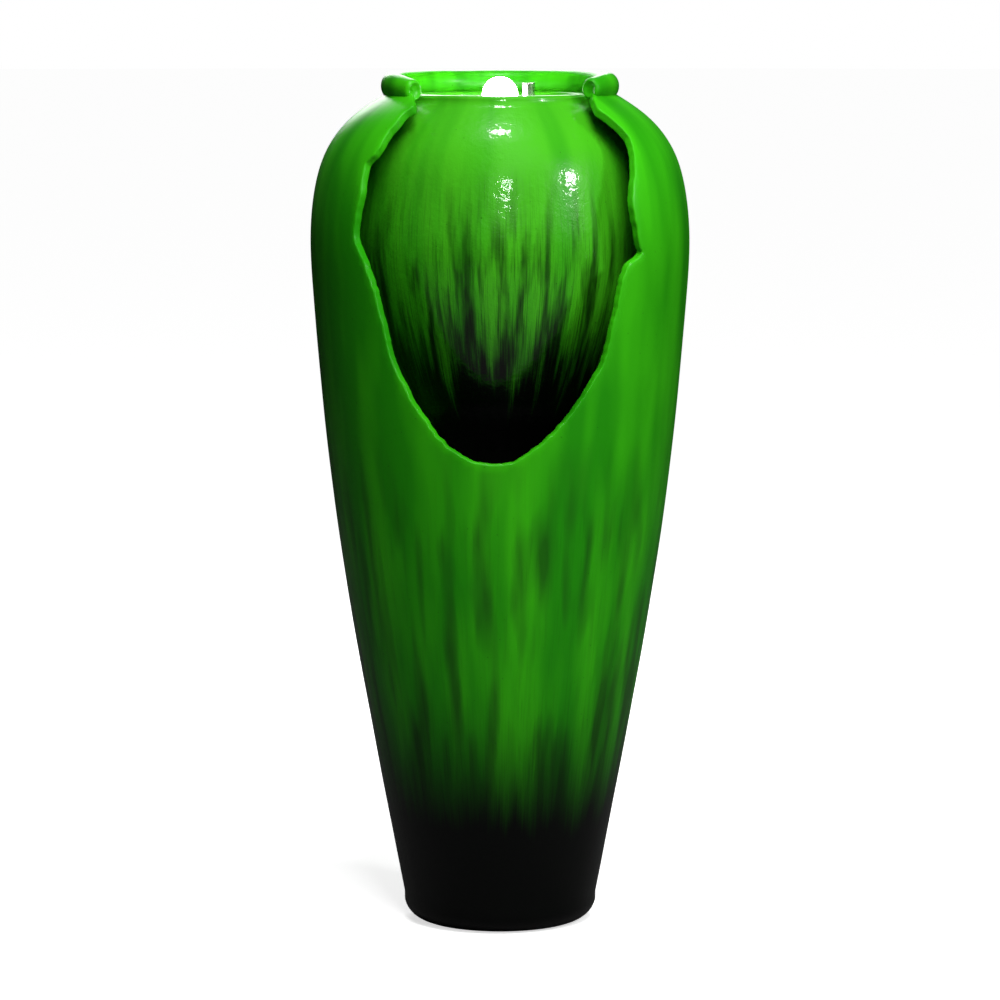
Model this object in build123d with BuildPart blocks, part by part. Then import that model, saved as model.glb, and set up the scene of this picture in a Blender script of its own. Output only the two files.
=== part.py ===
from build123d import *
import os
from math import pi, radians, sqrt, tan

# Tall urn-shaped recirculating water fountain, in millimetres.
# Origin: centre of the foot, on the floor. +Z up, the broken-open front faces -Y.
# Water is pumped from the bottom of the urn to a tray in the mouth of an inner jar,
# slides down the jar's face and drains through a shelf back to the pump.

# ---------------------------------------------------------------- driving sizes
URN_HEIGHT = 845.0  # floor to the top of the rolled rim
BELLY_RADIUS = 187.5  # widest radius of the urn
FOOT_RADIUS = 91.0  # wall line of the urn carried down to the floor
FOOT_ROUNDING = 24.0  # corner between wall and floor
FOOT_RING = 14.0  # width of the flat ring that stands on the floor
URN_WALL = 9.0
FLOOR_THICKNESS = 10.0
FLOOR_RECESS = 6.0  # the underside is hollowed by this much inside the foot ring
RIM_RADIUS = 106.5  # centre line of the rolled rim
RIM_WIDTH = 22.0
RIM_HEIGHT = 27.0
BREAK_RIM_ANGLE = 52.5  # the rim is broken away up to this angle each side of the front

BOND = 0.3  # glue line between bonded or seated pieces

SPILL_DROP = 21.0  # spill lip below the top of the rim
JAR_LIP_RADIUS = 86.0  # outside of the jar just under its lip
JAR_LIP_ROUND = 4.0  # radius of the rolled lip
JAR_WALL = 6.0
JAR_GAP = 30.5  # free space between the jar's belly and the urn's inner wall
JAR_FOOT_RADIUS = 46.0
JAR_FOOT_HEIGHT = 52.0
POCKET_DEPTH = 75.0  # shelf top below the lowest point of the break
SHELF_THICKNESS = 8.0
SHELF_HOLE_RADIUS = 6.0  # drain holes of the shelf
BRACKET_WIDTH = 24.0
BRACKET_HEIGHT = 20.0
BRACKET_REACH = 18.0  # how far a bracket stands in from the wall

TRAY_RADIUS = 77.5
TRAY_WALL = 3.0
TRAY_UPSTAND = 10.0
POOL_DEPTH = 26.0  # tray floor below the spill lip
TRAY_LEDGE = 8.0  # how far the jar's ledge reaches under the tray
LEDGE_THICKNESS = 7.0
SEAL_THICKNESS = 2.0
FIT_GAP = 0.5  # free gap around drop-in pieces

HOSE_BORE = 11.0
HOSE_WALL = 2.0
SPOUT_GAP = 0.1  # radial clearance of the hose on a spout
OUTLET_X, OUTLET_Y = 28.0, 17.0  # fountain outlet in the tray
OUTLET_RADIUS = 6.5
OUTLET_BORE = 4.5
OUTLET_RISE = 36.0  # outlet pipe above the tray floor
NUT_THICKNESS = 5.0
NUT_RADIUS = 10.5  # across the corners
SPOUT_LENGTH = 22.0
OUTLET_FLANGE_RADIUS = 9.0

LED_RADIUS = 20.0
LED_BODY_HEIGHT = 12.0
LED_STUD_RADIUS = 6.0
LED_BEZEL_WALL = 2.0
LED_DOME_RADIUS = 17.5
LED_DOME_RISE = 10.0  # straight part of the lens below its hemisphere
LED_LENS_WALL = 2.0
LED_LEAD_RADIUS = 2.5

PUMP_X = 18.0
PUMP_FACE_Y = 7.0  # front face of the motor shell
PUMP_WIDTH = 50.0
PUMP_HEIGHT = 46.0
PUMP_DEPTH = 56.0
PUMP_WALL = 2.5
PUMP_CORNER = 6.0
CUP_HEIGHT = 8.0
CUP_RADIUS = 9.0
ROTOR_RADIUS = 9.3
ROTOR_LENGTH = 26.0
ROTOR_GAP = 0.5
SHAFT_RADIUS = 1.5
RUNNING_GAP = 0.08
CHAMBER_RADIUS = 16.0
CHAMBER_DEPTH = 9.0  # least depth in front of the motor shell
VOLUTE_PLATE = 3.0
IMPELLER_RADIUS = 14.0
SPOUT_RISE = 28.0
STRAINER_LENGTH = 30.0  # how far the strainer stands in front of the volute
STRAINER_WALL = 2.0
STRAINER_LAP = 8.0  # how far it grips the motor shell
STRAINER_SLOT = 2.6
PUMP_LEAD_RADIUS = 3.0

HATCH_WIDTH = 120.0
HATCH_HEIGHT = 130.0
HATCH_CORNER = 15.0
HATCH_GAP = 1.5
HATCH_THICKNESS = 7.0
HATCH_BELOW_SHELF = 20.0
FRAME_THICKNESS = 8.0
FRAME_LAP = 14.0  # how far the frame reaches out behind the wall
FRAME_REACH = 20.0  # how far it reaches in behind the hatch
SCREW_SHANK_RADIUS = 2.5
SCREW_HEAD_RADIUS = 8.0
SCREW_HEAD_HEIGHT = 9.0
SCREW_INSET = 13.0  # screw centre in from the hatch's edge
SCREW_SINK = 3.0  # depth of the flat screw seats at their centre
SCREW_SEAL = 1.5
INSERT_RADIUS = 4.5
INSERT_LENGTH = 5.0

BOX_WIDTH = 50.0
BOX_DEPTH = 22.0
BOX_HEIGHT = 36.0
BOX_WALL = 2.0
BOX_LID = 4.0
BOX_Y = 88.0  # open face of the junction box
GLAND_RADIUS = 6.0
GLAND_LENGTH = 8.0
GLAND_OFFSET = 12.0

CABLE_BORE_RADIUS = 4.0
CABLE_HOLE_RADIUS = 8.0
CABLE_FLANGE_RADIUS = 12.0
DRAIN_BORE_RADIUS = 6.0
DRAIN_HOLE_RADIUS = 9.0
DRAIN_FLANGE_RADIUS = 13.0

# ---------------------------------------------------------------- derived levels
FLOOR_TOP = FLOOR_RECESS + FLOOR_THICKNESS
DRAIN_HEIGHT = FLOOR_TOP + FOOT_ROUNDING - URN_WALL + DRAIN_FLANGE_RADIUS + 1.0
RIM_CENTRE = URN_HEIGHT - RIM_HEIGHT / 2
BREAK_BOTTOM = 0.562 * URN_HEIGHT
SHELF_TOP = BREAK_BOTTOM - POCKET_DEPTH
SHELF_BOTTOM = SHELF_TOP - SHELF_THICKNESS
LIP_TOP = URN_HEIGHT - SPILL_DROP
TRAY_FLOOR = LIP_TOP - POOL_DEPTH
TRAY_BOTTOM = TRAY_FLOOR - TRAY_WALL
LEDGE_TOP = TRAY_BOTTOM - SEAL_THICKNESS
PUMP_AXIS = FLOOR_TOP + CUP_HEIGHT + PUMP_HEIGHT / 2
HATCH_CENTRE = SHELF_BOTTOM - HATCH_BELOW_SHELF - HATCH_HEIGHT / 2
BOX_TOP = HATCH_CENTRE - HATCH_HEIGHT / 2 - FRAME_LAP - 9.0
BOX_BOTTOM = BOX_TOP - BOX_HEIGHT
CABLE_HEIGHT = BOX_BOTTOM - 26.0
HOSE_RADIUS = HOSE_BORE / 2 + HOSE_WALL
SPOUT_RADIUS = HOSE_BORE / 2 - SPOUT_GAP


# ---------------------------------------------------------------- outlines
def urn_outline():
    """Outer line of the urn as radius and height, from the floor to inside the rim."""
    body = BELLY_RADIUS - FOOT_RADIUS
    shoulder = BELLY_RADIUS - RIM_RADIUS
    # (share of the belly's growth, share of the height)
    lower = [(0.0, 0.0), (0.335, 0.2), (0.75, 0.486), (0.976, 0.746), (1.0, 0.805)]
    upper = [(0.948, 0.863), (0.797, 0.91), (0.533, 0.9445)]
    points = [(FOOT_RADIUS + body * share, URN_HEIGHT * z) for share, z in lower]
    points += [(RIM_RADIUS + shoulder * share, URN_HEIGHT * z) for share, z in upper]
    points += [(RIM_RADIUS + 3.5, URN_HEIGHT - 0.7 * RIM_HEIGHT)]
    return Spline(*points, tangents=[(0.2, 1), (-0.84, 0.54)])


def jar_outline():
    """Outer line of the inner jar, from the top of its foot to its lip."""
    rise = LIP_TOP - SHELF_TOP
    swell = JAR_BELLY_RADIUS - JAR_FOOT_RADIUS
    shoulder = JAR_BELLY_RADIUS - JAR_LIP_RADIUS
    lower = [(0.157, 0.171), (0.529, 0.286), (0.804, 0.429), (1.0, 0.69)]
    upper = [(0.935, 0.762), (0.72, 0.876)]
    points = [(JAR_FOOT_RADIUS, SHELF_TOP + JAR_FOOT_HEIGHT)]
    points += [(JAR_FOOT_RADIUS + swell * share, SHELF_TOP + rise * z) for share, z in lower]
    points += [(JAR_LIP_RADIUS + shoulder * share, SHELF_TOP + rise * z) for share, z in upper]
    points += [(JAR_LIP_RADIUS, LIP_TOP - JAR_WALL)]
    return Spline(*points, tangents=[(0.25, 1), (-0.6, 0.8)])


def radius_at(line, height):
    """Radius of an outline at one height."""
    low, high = 0.0, 1.0
    for _ in range(30):
        middle = (low + high) / 2
        if (line @ middle).Y < height:
            low = middle
        else:
            high = middle
    return (line @ low).X


def inset(line, depth, count=26):
    """Points of a line that runs a constant depth inside an outline."""
    points = []
    for i in range(count):
        along = line % (i / (count - 1))
        points.append(line @ (i / (count - 1)) + Vector(-along.Y, along.X) * depth)
    return points


URN_LINE = urn_outline()
JAR_BELLY_HEIGHT = SHELF_TOP + 0.69 * (LIP_TOP - SHELF_TOP)
JAR_BELLY_RADIUS = radius_at(URN_LINE, JAR_BELLY_HEIGHT) - URN_WALL - JAR_GAP
JAR_LINE = jar_outline()


def core_face(line, depth):
    """Half section, axis to outline, of the body that lies a given depth inside an outline."""
    points = [(p.X, p.Y) for p in inset(line, depth)]
    with BuildSketch(Plane.XZ) as face:
        with BuildLine():
            Spline(*points)
            Polyline(points[-1], (0, points[-1][1]), (0, points[0][1]), points[0])
        make_face()
    return face.sketch


def band_face(line, outer_depth, inner_depth):
    """Half section of a skin between two depths inside an outline."""
    outer = [(p.X, p.Y) for p in inset(line, outer_depth)]
    inner = [(p.X, p.Y) for p in inset(line, inner_depth)]
    with BuildSketch(Plane.XZ) as face:
        with BuildLine():
            Spline(*outer)
            Line(outer[-1], inner[-1])
            Spline(*inner)
            Line(inner[0], outer[0])
        make_face()
    return face.sketch


def bend_radii(points, least=0.0):
    """Largest smooth radius for each inner corner of a route."""
    radii = []
    for before, at, after in zip(points, points[1:], points[2:]):
        first, second = Vector(*at) - Vector(*before), Vector(*after) - Vector(*at)
        half_turn = radians(first.get_angle(second) / 2)
        radii.append(max(least, 0.45 * min(first.length, second.length) / tan(half_turn)))
    return radii


def back_plane(x, y, z):
    """Sketch plane at the back, facing +Y, with its origin at a point."""
    return Plane(origin=(x, y, z), x_dir=(-1, 0, 0), z_dir=(0, 1, 0))


def back_y(x, height, depth):
    """Y of the back wall at a place, a given depth inside the outer surface."""
    return sqrt((radius_at(URN_LINE, height) - depth) ** 2 - x**2)


def urn_skin(outer_depth, inner_depth):
    """Skin all round the urn between two depths inside its outer surface."""
    return revolve(band_face(URN_LINE, outer_depth, inner_depth), axis=Axis.Z)


def hatch_prism(grow):
    """Prism along +Y with the hatch's rounded outline, grown by a margin."""
    with BuildPart() as prism:
        with BuildSketch(back_plane(0, 0, HATCH_CENTRE)):
            corner = max(HATCH_CORNER + grow, HATCH_CORNER / 3)
            RectangleRounded(HATCH_WIDTH + 2 * grow, HATCH_HEIGHT + 2 * grow, corner)
        extrude(amount=BELLY_RADIUS + 20)
    return prism.part


def tube(points, radius, bore, name):
    """Round tube along straight runs joined by tangent arcs."""
    radii = bend_radii(points)
    with BuildPart() as piece:
        with BuildLine():
            route = FilletPolyline(*points, radius=radii)
        start = Plane(origin=route @ 0, z_dir=route % 0)
        with BuildSketch(start):
            Circle(radius)
            if bore:
                Circle(bore, mode=Mode.SUBTRACT)
        sweep(path=route)
    area = pi * (radius**2 - bore**2)
    print(name, "radii", [round(r) for r in radii], "length", round(route.length, 1),
          "volume ratio", round(piece.part.volume / (area * route.length), 4))
    return piece.part


def finish(part, label):
    """Name one finished piece and write its STEP file."""
    part.label = label
    export_step(part, f"parts/{label}.step")


os.makedirs("parts", exist_ok=True)
HATCH_HOLE = hatch_prism(HATCH_GAP)
URN_SPACE = revolve(core_face(URN_LINE, URN_WALL + BOND), axis=Axis.Z)

# ---------------------------------------------------------------- outer urn
# Edge of the break: (degrees from the front, share of the urn's height)
BREAK_EDGE = [
    (-BREAK_RIM_ANGLE, 1.02), (-BREAK_RIM_ANGLE, 0.969), (-41.5, 0.967), (-43.0, 0.947),
    (-44.0, 0.928), (-46.0, 0.909), (-48.5, 0.897), (-47.8, 0.869), (-49.3, 0.828),
    (-48.5, 0.808), (-45.0, 0.787), (-41.0, 0.751), (-38.0, 0.707), (-35.5, 0.674),
    (-30.0, 0.637), (-21.5, 0.595), (-12.5, 0.57), (-4.0, 0.562), (4.5, 0.562), (13.0, 0.582),
    (22.0, 0.612), (31.0, 0.657), (36.0, 0.69), (39.0, 0.748), (42.0, 0.786), (47.9, 0.8),
    (46.0, 0.822), (44.3, 0.854), (47.7, 0.891), (51.6, 0.927), (50.5, 0.943), (47.0, 0.965),
    (BREAK_RIM_ANGLE, 0.969), (BREAK_RIM_ANGLE, 1.02),
]
BREAK_NEAR, BREAK_FAR = 30.0, BELLY_RADIUS + 60.0  # distances in front of the axis

with BuildPart() as break_tool:
    for distance in (BREAK_NEAR, BREAK_FAR):
        with BuildSketch(Plane.XZ.offset(distance)):
            with BuildLine():
                edge = [(distance * tan(radians(a)), URN_HEIGHT * z) for a, z in BREAK_EDGE]
                Polyline(*edge, close=True)
            make_face()
    loft(ruled=True)

with BuildPart() as urn_hollow:
    add(revolve(core_face(URN_LINE, URN_WALL), axis=Axis.Z, mode=Mode.PRIVATE))
    split(bisect_by=Plane.XY.offset(FLOOR_TOP), keep=Keep.TOP)
    fillet(urn_hollow.edges().group_by(Axis.Z)[0], radius=FOOT_ROUNDING - URN_WALL)
    with BuildSketch(Plane.XY.offset((URN_LINE @ 1).Y - URN_WALL)):
        Circle((URN_LINE @ 1).X - URN_WALL / 2)
    extrude(amount=URN_WALL * 2)

with BuildPart() as outer_urn:
    with BuildSketch(Plane.XZ):
        add(core_face(URN_LINE, 0))
    revolve(axis=Axis.Z)
    fillet(outer_urn.edges().group_by(Axis.Z)[0], radius=FOOT_ROUNDING)
    with BuildSketch(Plane.XZ):
        with Locations((RIM_RADIUS, RIM_CENTRE)):
            Ellipse(RIM_WIDTH / 2, RIM_HEIGHT / 2)
    revolve(axis=Axis.Z)
    add(urn_hollow.part, mode=Mode.SUBTRACT)
    with BuildSketch():
        Circle(FOOT_RADIUS - FOOT_ROUNDING - FOOT_RING)
    extrude(amount=FLOOR_RECESS, mode=Mode.SUBTRACT)
    add(break_tool.part, mode=Mode.SUBTRACT)
    add(HATCH_HOLE, mode=Mode.SUBTRACT)
    for height, radius in ((CABLE_HEIGHT, CABLE_HOLE_RADIUS), (DRAIN_HEIGHT, DRAIN_HOLE_RADIUS)):
        with BuildSketch(back_plane(0, 0, height)):
            Circle(radius)
        extrude(amount=BELLY_RADIUS, mode=Mode.SUBTRACT)
finish(outer_urn.part, "outer_urn")

# ---------------------------------------------------------------- inner jar
with BuildPart() as jar_hollow:
    add(revolve(core_face(JAR_LINE, JAR_WALL), axis=Axis.Z, mode=Mode.PRIVATE))
    with BuildSketch(Plane.XY.offset(LIP_TOP - 2 * JAR_WALL)):
        Circle(JAR_LIP_RADIUS - JAR_WALL + 1.0)
    extrude(amount=3 * JAR_WALL)
    with BuildSketch(Plane.XY.offset(LEDGE_TOP - LEDGE_THICKNESS)):
        Circle(JAR_BELLY_RADIUS)
        Circle(TRAY_RADIUS - TRAY_LEDGE, mode=Mode.SUBTRACT)
    extrude(amount=LEDGE_THICKNESS, mode=Mode.SUBTRACT)
    with BuildSketch(Plane.XY.offset(SHELF_BOTTOM)):
        Circle(JAR_FOOT_RADIUS - JAR_WALL)
    extrude(amount=SHELF_THICKNESS + JAR_FOOT_HEIGHT + JAR_WALL)

with BuildPart() as inner_jar:
    with BuildSketch(Plane.XZ):
        add(core_face(JAR_LINE, 0))
    revolve(axis=Axis.Z)
    with BuildSketch(Plane.XY.offset(SHELF_TOP + BOND)):
        Circle(JAR_FOOT_RADIUS)
    extrude(amount=JAR_FOOT_HEIGHT - BOND)
    with BuildSketch(Plane.XZ):
        with Locations((JAR_LIP_RADIUS - JAR_LIP_ROUND / 2, LIP_TOP - JAR_LIP_ROUND)):
            Circle(JAR_LIP_ROUND)
    revolve(axis=Axis.Z)
    add(jar_hollow.part, mode=Mode.SUBTRACT)
finish(inner_jar.part, "inner_jar")

# ---------------------------------------------------------------- shelf under the jar
HOSE_X, HOSE_Y = 18.0, 6.0  # where the hose passes the shelf
LEAD_X, LEAD_Y = -22.0, 8.0  # where the lamp lead passes the shelf
HOSE_GROMMET_RADIUS = HOSE_RADIUS + 4.0
LEAD_GROMMET_RADIUS = LED_LEAD_RADIUS + 3.0
GROMMET_LIP = 2.5
DRAIN_RINGS = ((78.0, 14), (104.0, 18), (128.0, 24))  # (radius, holes)

with BuildPart() as jar_support_shelf:
    with BuildSketch(Plane.XY.offset(SHELF_BOTTOM)):
        Circle(BELLY_RADIUS)
    extrude(amount=SHELF_THICKNESS)
    add(URN_SPACE, mode=Mode.INTERSECT)
    with BuildSketch(Plane.XY.offset(SHELF_BOTTOM)):
        for ring_radius, holes in DRAIN_RINGS:
            with PolarLocations(ring_radius, holes):
                Circle(SHELF_HOLE_RADIUS)
        with Locations((HOSE_X, HOSE_Y)):
            Circle(HOSE_GROMMET_RADIUS)
        with Locations((LEAD_X, LEAD_Y)):
            Circle(LEAD_GROMMET_RADIUS)
    extrude(amount=SHELF_THICKNESS, mode=Mode.SUBTRACT)
finish(jar_support_shelf.part, "jar_support_shelf")

with BuildPart() as shelf_brackets:
    with BuildSketch(Plane.XY.offset(SHELF_BOTTOM - BRACKET_HEIGHT)):
        with PolarLocations(BELLY_RADIUS / 2, 4, start_angle=45):
            Rectangle(BELLY_RADIUS, BRACKET_WIDTH)
    extrude(amount=BRACKET_HEIGHT)
    add(URN_SPACE, mode=Mode.INTERSECT)
    with BuildSketch(Plane.XY.offset(SHELF_BOTTOM - BRACKET_HEIGHT)):
        Circle(radius_at(URN_LINE, SHELF_BOTTOM) - URN_WALL - BRACKET_REACH)
    extrude(amount=BRACKET_HEIGHT, mode=Mode.SUBTRACT)
finish(shelf_brackets.part, "shelf_brackets")

# (name, centre, hole radius, bore radius) of the rubber grommets in the shelf
SHELF_GROMMETS = (
    ("hose_grommet", HOSE_X, HOSE_Y, HOSE_GROMMET_RADIUS, HOSE_RADIUS + SPOUT_GAP),
    ("lamp_lead_grommet", LEAD_X, LEAD_Y, LEAD_GROMMET_RADIUS, LED_LEAD_RADIUS + SPOUT_GAP),
)
for name, x, y, hole, bore in SHELF_GROMMETS:
    with BuildPart() as grommet:
        with BuildSketch(Plane((x, y, SHELF_BOTTOM))):
            Circle(hole - RUNNING_GAP)
        extrude(amount=SHELF_THICKNESS)
        for lip_level in (SHELF_BOTTOM - GROMMET_LIP, SHELF_TOP):
            with BuildSketch(Plane((x, y, lip_level))):
                Circle(hole + GROMMET_LIP)
            extrude(amount=GROMMET_LIP)
        with BuildSketch(Plane((x, y, SHELF_BOTTOM - GROMMET_LIP))):
            Circle(bore)
        extrude(amount=SHELF_THICKNESS + 2 * GROMMET_LIP, mode=Mode.SUBTRACT)
    finish(grommet.part, name)

# ---------------------------------------------------------------- pool tray in the jar's mouth
with BuildPart() as pool_tray:
    with BuildSketch(Plane.XY.offset(TRAY_BOTTOM)):
        Circle(TRAY_RADIUS)
    extrude(amount=TRAY_WALL + TRAY_UPSTAND)
    with BuildSketch(Plane.XY.offset(TRAY_FLOOR)):
        Circle(TRAY_RADIUS - TRAY_WALL)
    extrude(amount=TRAY_UPSTAND, mode=Mode.SUBTRACT)
    with BuildSketch(Plane.XY.offset(TRAY_BOTTOM)):
        Circle(LED_STUD_RADIUS + RUNNING_GAP)
        with Locations((OUTLET_X, OUTLET_Y)):
            Circle(OUTLET_RADIUS + RUNNING_GAP)
    extrude(amount=TRAY_WALL, mode=Mode.SUBTRACT)
finish(pool_tray.part, "pool_tray")

with BuildPart() as tray_seal_ring:
    with BuildSketch(Plane.XY.offset(LEDGE_TOP)):
        Circle(TRAY_RADIUS)
        Circle(TRAY_RADIUS - TRAY_LEDGE + FIT_GAP, mode=Mode.SUBTRACT)
    extrude(amount=SEAL_THICKNESS)
finish(tray_seal_ring.part, "tray_seal_ring")

with BuildPart() as outlet_washer:
    with BuildSketch(Plane((OUTLET_X, OUTLET_Y, TRAY_FLOOR))):
        Circle(OUTLET_FLANGE_RADIUS)
        Circle(OUTLET_RADIUS + RUNNING_GAP, mode=Mode.SUBTRACT)
    extrude(amount=SEAL_THICKNESS)
finish(outlet_washer.part, "outlet_washer")

with BuildPart() as outlet_nozzle:
    with BuildSketch(Plane((OUTLET_X, OUTLET_Y, TRAY_FLOOR + SEAL_THICKNESS))):
        Circle(OUTLET_FLANGE_RADIUS)
    extrude(amount=SEAL_THICKNESS)
    with BuildSketch(Plane((OUTLET_X, OUTLET_Y, TRAY_BOTTOM - NUT_THICKNESS))):
        Circle(OUTLET_RADIUS)
    extrude(amount=NUT_THICKNESS + TRAY_WALL + OUTLET_RISE)
    fillet(outlet_nozzle.edges().group_by(Axis.Z)[-1], radius=1.0)
    with BuildSketch(Plane((OUTLET_X, OUTLET_Y, TRAY_BOTTOM - NUT_THICKNESS - SPOUT_LENGTH))):
        Circle(SPOUT_RADIUS)
    extrude(amount=SPOUT_LENGTH)
    with BuildSketch(Plane((OUTLET_X, OUTLET_Y, TRAY_BOTTOM - NUT_THICKNESS - SPOUT_LENGTH))):
        Circle(OUTLET_BORE)
    extrude(amount=BELLY_RADIUS, mode=Mode.SUBTRACT)
finish(outlet_nozzle.part, "outlet_nozzle")

with BuildPart() as tray_nuts:
    for x, y, bore in ((OUTLET_X, OUTLET_Y, OUTLET_RADIUS), (0.0, 0.0, LED_STUD_RADIUS)):
        with BuildSketch(Plane((x, y, TRAY_BOTTOM - NUT_THICKNESS))):
            RegularPolygon(NUT_RADIUS, 6)
            Circle(bore + RUNNING_GAP, mode=Mode.SUBTRACT)
        extrude(amount=NUT_THICKNESS)
finish(tray_nuts.part, "tray_nuts")

# ---------------------------------------------------------------- pool lamp
LAMP_BASE = TRAY_FLOOR + SEAL_THICKNESS
LAMP_TOP = LAMP_BASE + LED_BODY_HEIGHT
LENS_BASE = LAMP_TOP + 1.0  # above the lens seal
LENS_FLANGE = 2.0
BEZEL_RADIUS = LED_RADIUS + RUNNING_GAP + LED_BEZEL_WALL
BOARD_RADIUS = LED_RADIUS - 4.0
BOARD_THICKNESS = 1.6
LAMP_FLOOR = 3.0  # solid metal under the board
CHIP_SIZE = 3.5
CHIP_HEIGHT = 1.0
BEZEL_LIP = 2.0  # metal over the lens flange

with BuildPart() as lamp_base_seal:
    with BuildSketch(Plane.XY.offset(TRAY_FLOOR)):
        Circle(LED_RADIUS - LED_BEZEL_WALL)
        Circle(LED_STUD_RADIUS + RUNNING_GAP, mode=Mode.SUBTRACT)
    extrude(amount=SEAL_THICKNESS)
finish(lamp_base_seal.part, "lamp_base_seal")

with BuildPart() as lamp_housing:
    with BuildSketch(Plane.XY.offset(LAMP_BASE)):
        Circle(LED_RADIUS)
    extrude(amount=LED_BODY_HEIGHT)
    with BuildSketch(Plane.XY.offset(LAMP_BASE + LAMP_FLOOR)):
        Circle(BOARD_RADIUS + RUNNING_GAP)
    extrude(amount=LED_BODY_HEIGHT, mode=Mode.SUBTRACT)
    with BuildSketch(Plane.XY.offset(TRAY_BOTTOM - NUT_THICKNESS)):
        Circle(LED_STUD_RADIUS)
    extrude(amount=NUT_THICKNESS + TRAY_WALL + SEAL_THICKNESS)
    with BuildSketch(Plane.XY.offset(TRAY_BOTTOM - NUT_THICKNESS)):
        Circle(LED_LEAD_RADIUS + RUNNING_GAP)
    extrude(amount=LED_BODY_HEIGHT * 2, mode=Mode.SUBTRACT)
finish(lamp_housing.part, "lamp_housing")

with BuildPart() as lamp_board:
    with BuildSketch(Plane.XY.offset(LAMP_BASE + LAMP_FLOOR)):
        Circle(BOARD_RADIUS)
    extrude(amount=BOARD_THICKNESS)
finish(lamp_board.part, "lamp_board")

with BuildPart() as lamp_leds:
    with BuildSketch(Plane.XY.offset(LAMP_BASE + LAMP_FLOOR + BOARD_THICKNESS)):
        with PolarLocations(BOARD_RADIUS * 0.6, 6):
            Rectangle(CHIP_SIZE, CHIP_SIZE)
    extrude(amount=CHIP_HEIGHT)
finish(lamp_leds.part, "lamp_leds")

with BuildPart() as lamp_lens_seal:
    with BuildSketch(Plane.XY.offset(LAMP_TOP)):
        Circle(LED_RADIUS - 1.0)
        Circle(BOARD_RADIUS + FIT_GAP, mode=Mode.SUBTRACT)
    extrude(amount=LENS_BASE - LAMP_TOP)
finish(lamp_lens_seal.part, "lamp_lens_seal")

with BuildPart() as lamp_lens:
    with BuildSketch(Plane.XY.offset(LENS_BASE)):
        Circle(LED_RADIUS - FIT_GAP)
    extrude(amount=LENS_FLANGE)
    with BuildSketch(Plane.XZ):
        with BuildLine():
            crown = (0, LENS_BASE + LED_DOME_RISE + LED_DOME_RADIUS)
            shoulder = (LED_DOME_RADIUS, LENS_BASE + LED_DOME_RISE)
            Polyline(crown, (0, LENS_BASE), (LED_DOME_RADIUS, LENS_BASE), shoulder)
            RadiusArc(shoulder, crown, -LED_DOME_RADIUS)
        make_face()
    revolve(axis=Axis.Z)
    with BuildSketch(Plane.XZ):
        with BuildLine():
            inner = LED_DOME_RADIUS - LED_LENS_WALL
            crown = (0, LENS_BASE + LED_DOME_RISE + inner)
            shoulder = (inner, LENS_BASE + LED_DOME_RISE)
            Polyline(crown, (0, LENS_BASE), (inner, LENS_BASE), shoulder)
            RadiusArc(shoulder, crown, -inner)
        make_face()
    revolve(axis=Axis.Z, mode=Mode.SUBTRACT)
finish(lamp_lens.part, "lamp_lens")

with BuildPart() as lamp_bezel:
    with BuildSketch(Plane.XY.offset(LAMP_BASE + BEZEL_LIP)):
        Circle(BEZEL_RADIUS)
    extrude(amount=LENS_BASE + LENS_FLANGE - LAMP_BASE)
    with BuildSketch(Plane.XY.offset(LAMP_BASE)):
        Circle(LED_RADIUS + RUNNING_GAP)
    extrude(amount=LENS_BASE + LENS_FLANGE - LAMP_BASE, mode=Mode.SUBTRACT)
    with BuildSketch(Plane.XY.offset(LAMP_BASE)):
        Circle(LED_DOME_RADIUS + RUNNING_GAP)
    extrude(amount=LED_BODY_HEIGHT * 2, mode=Mode.SUBTRACT)
finish(lamp_bezel.part, "lamp_bezel")

# ---------------------------------------------------------------- pump
PUMP_BOTTOM = FLOOR_TOP + CUP_HEIGHT
SPOUT_X = PUMP_X + CHAMBER_RADIUS - HOSE_BORE / 2
SPOUT_SETBACK = 0.4  # spout clear of the motor shell's face
SPOUT_COVER = 0.8  # plate left in front of the spout
SPOUT_Y = PUMP_FACE_Y - SPOUT_RADIUS - SPOUT_SETBACK
SPOUT_TOP = PUMP_AXIS + CHAMBER_RADIUS + SPOUT_RISE
SPOUT_ROOM = SPOUT_SETBACK + 2 * SPOUT_RADIUS + SPOUT_COVER
CHAMBER_ROOM = max(CHAMBER_DEPTH, SPOUT_ROOM - VOLUTE_PLATE)
PLATE_Y = PUMP_FACE_Y - CHAMBER_ROOM - VOLUTE_PLATE  # front of the volute cover
EYE_RADIUS = 7.0
SHAFT_FRONT = PLATE_Y + 0.5
WELL_RADIUS = ROTOR_RADIUS + ROTOR_GAP
WELL_WALL = 1.5
WELL_DEPTH = ROTOR_LENGTH + 6.0
SHAFT_END = PUMP_FACE_Y + WELL_DEPTH - 0.5
BUSH_RADIUS = 3.5
BUSH_LENGTH = 3.0
DIAL_THICKNESS = 3.0
DIAL_RADIUS = 13.0
HUB_RADIUS = 3.5
HUB_START = 0.9  # rear end of the blades, in front of the motor shell's face
ROTOR_START = 1.0  # front of the magnet, behind the motor shell's face
DISC_START = 1.6  # front of the impeller's disc, in front of the motor shell's face
DISC_THICKNESS = 1.4
BLADE_THICKNESS = 1.5
BLADE_BITE = 1.0  # how far each blade reaches into the hub
BLADE_GAP = 1.2  # blades clear of the volute plate
VOLUTE_SEAL = 1.0  # thickness
SEAL_INNER = CHAMBER_RADIUS + 0.8
SEAL_OUTER = CHAMBER_RADIUS + 2.8


def pump_plane(y):
    """Sketch plane across the pump's shaft, facing +Y, centred on the shaft."""
    return back_plane(PUMP_X, y, PUMP_AXIS)


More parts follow.
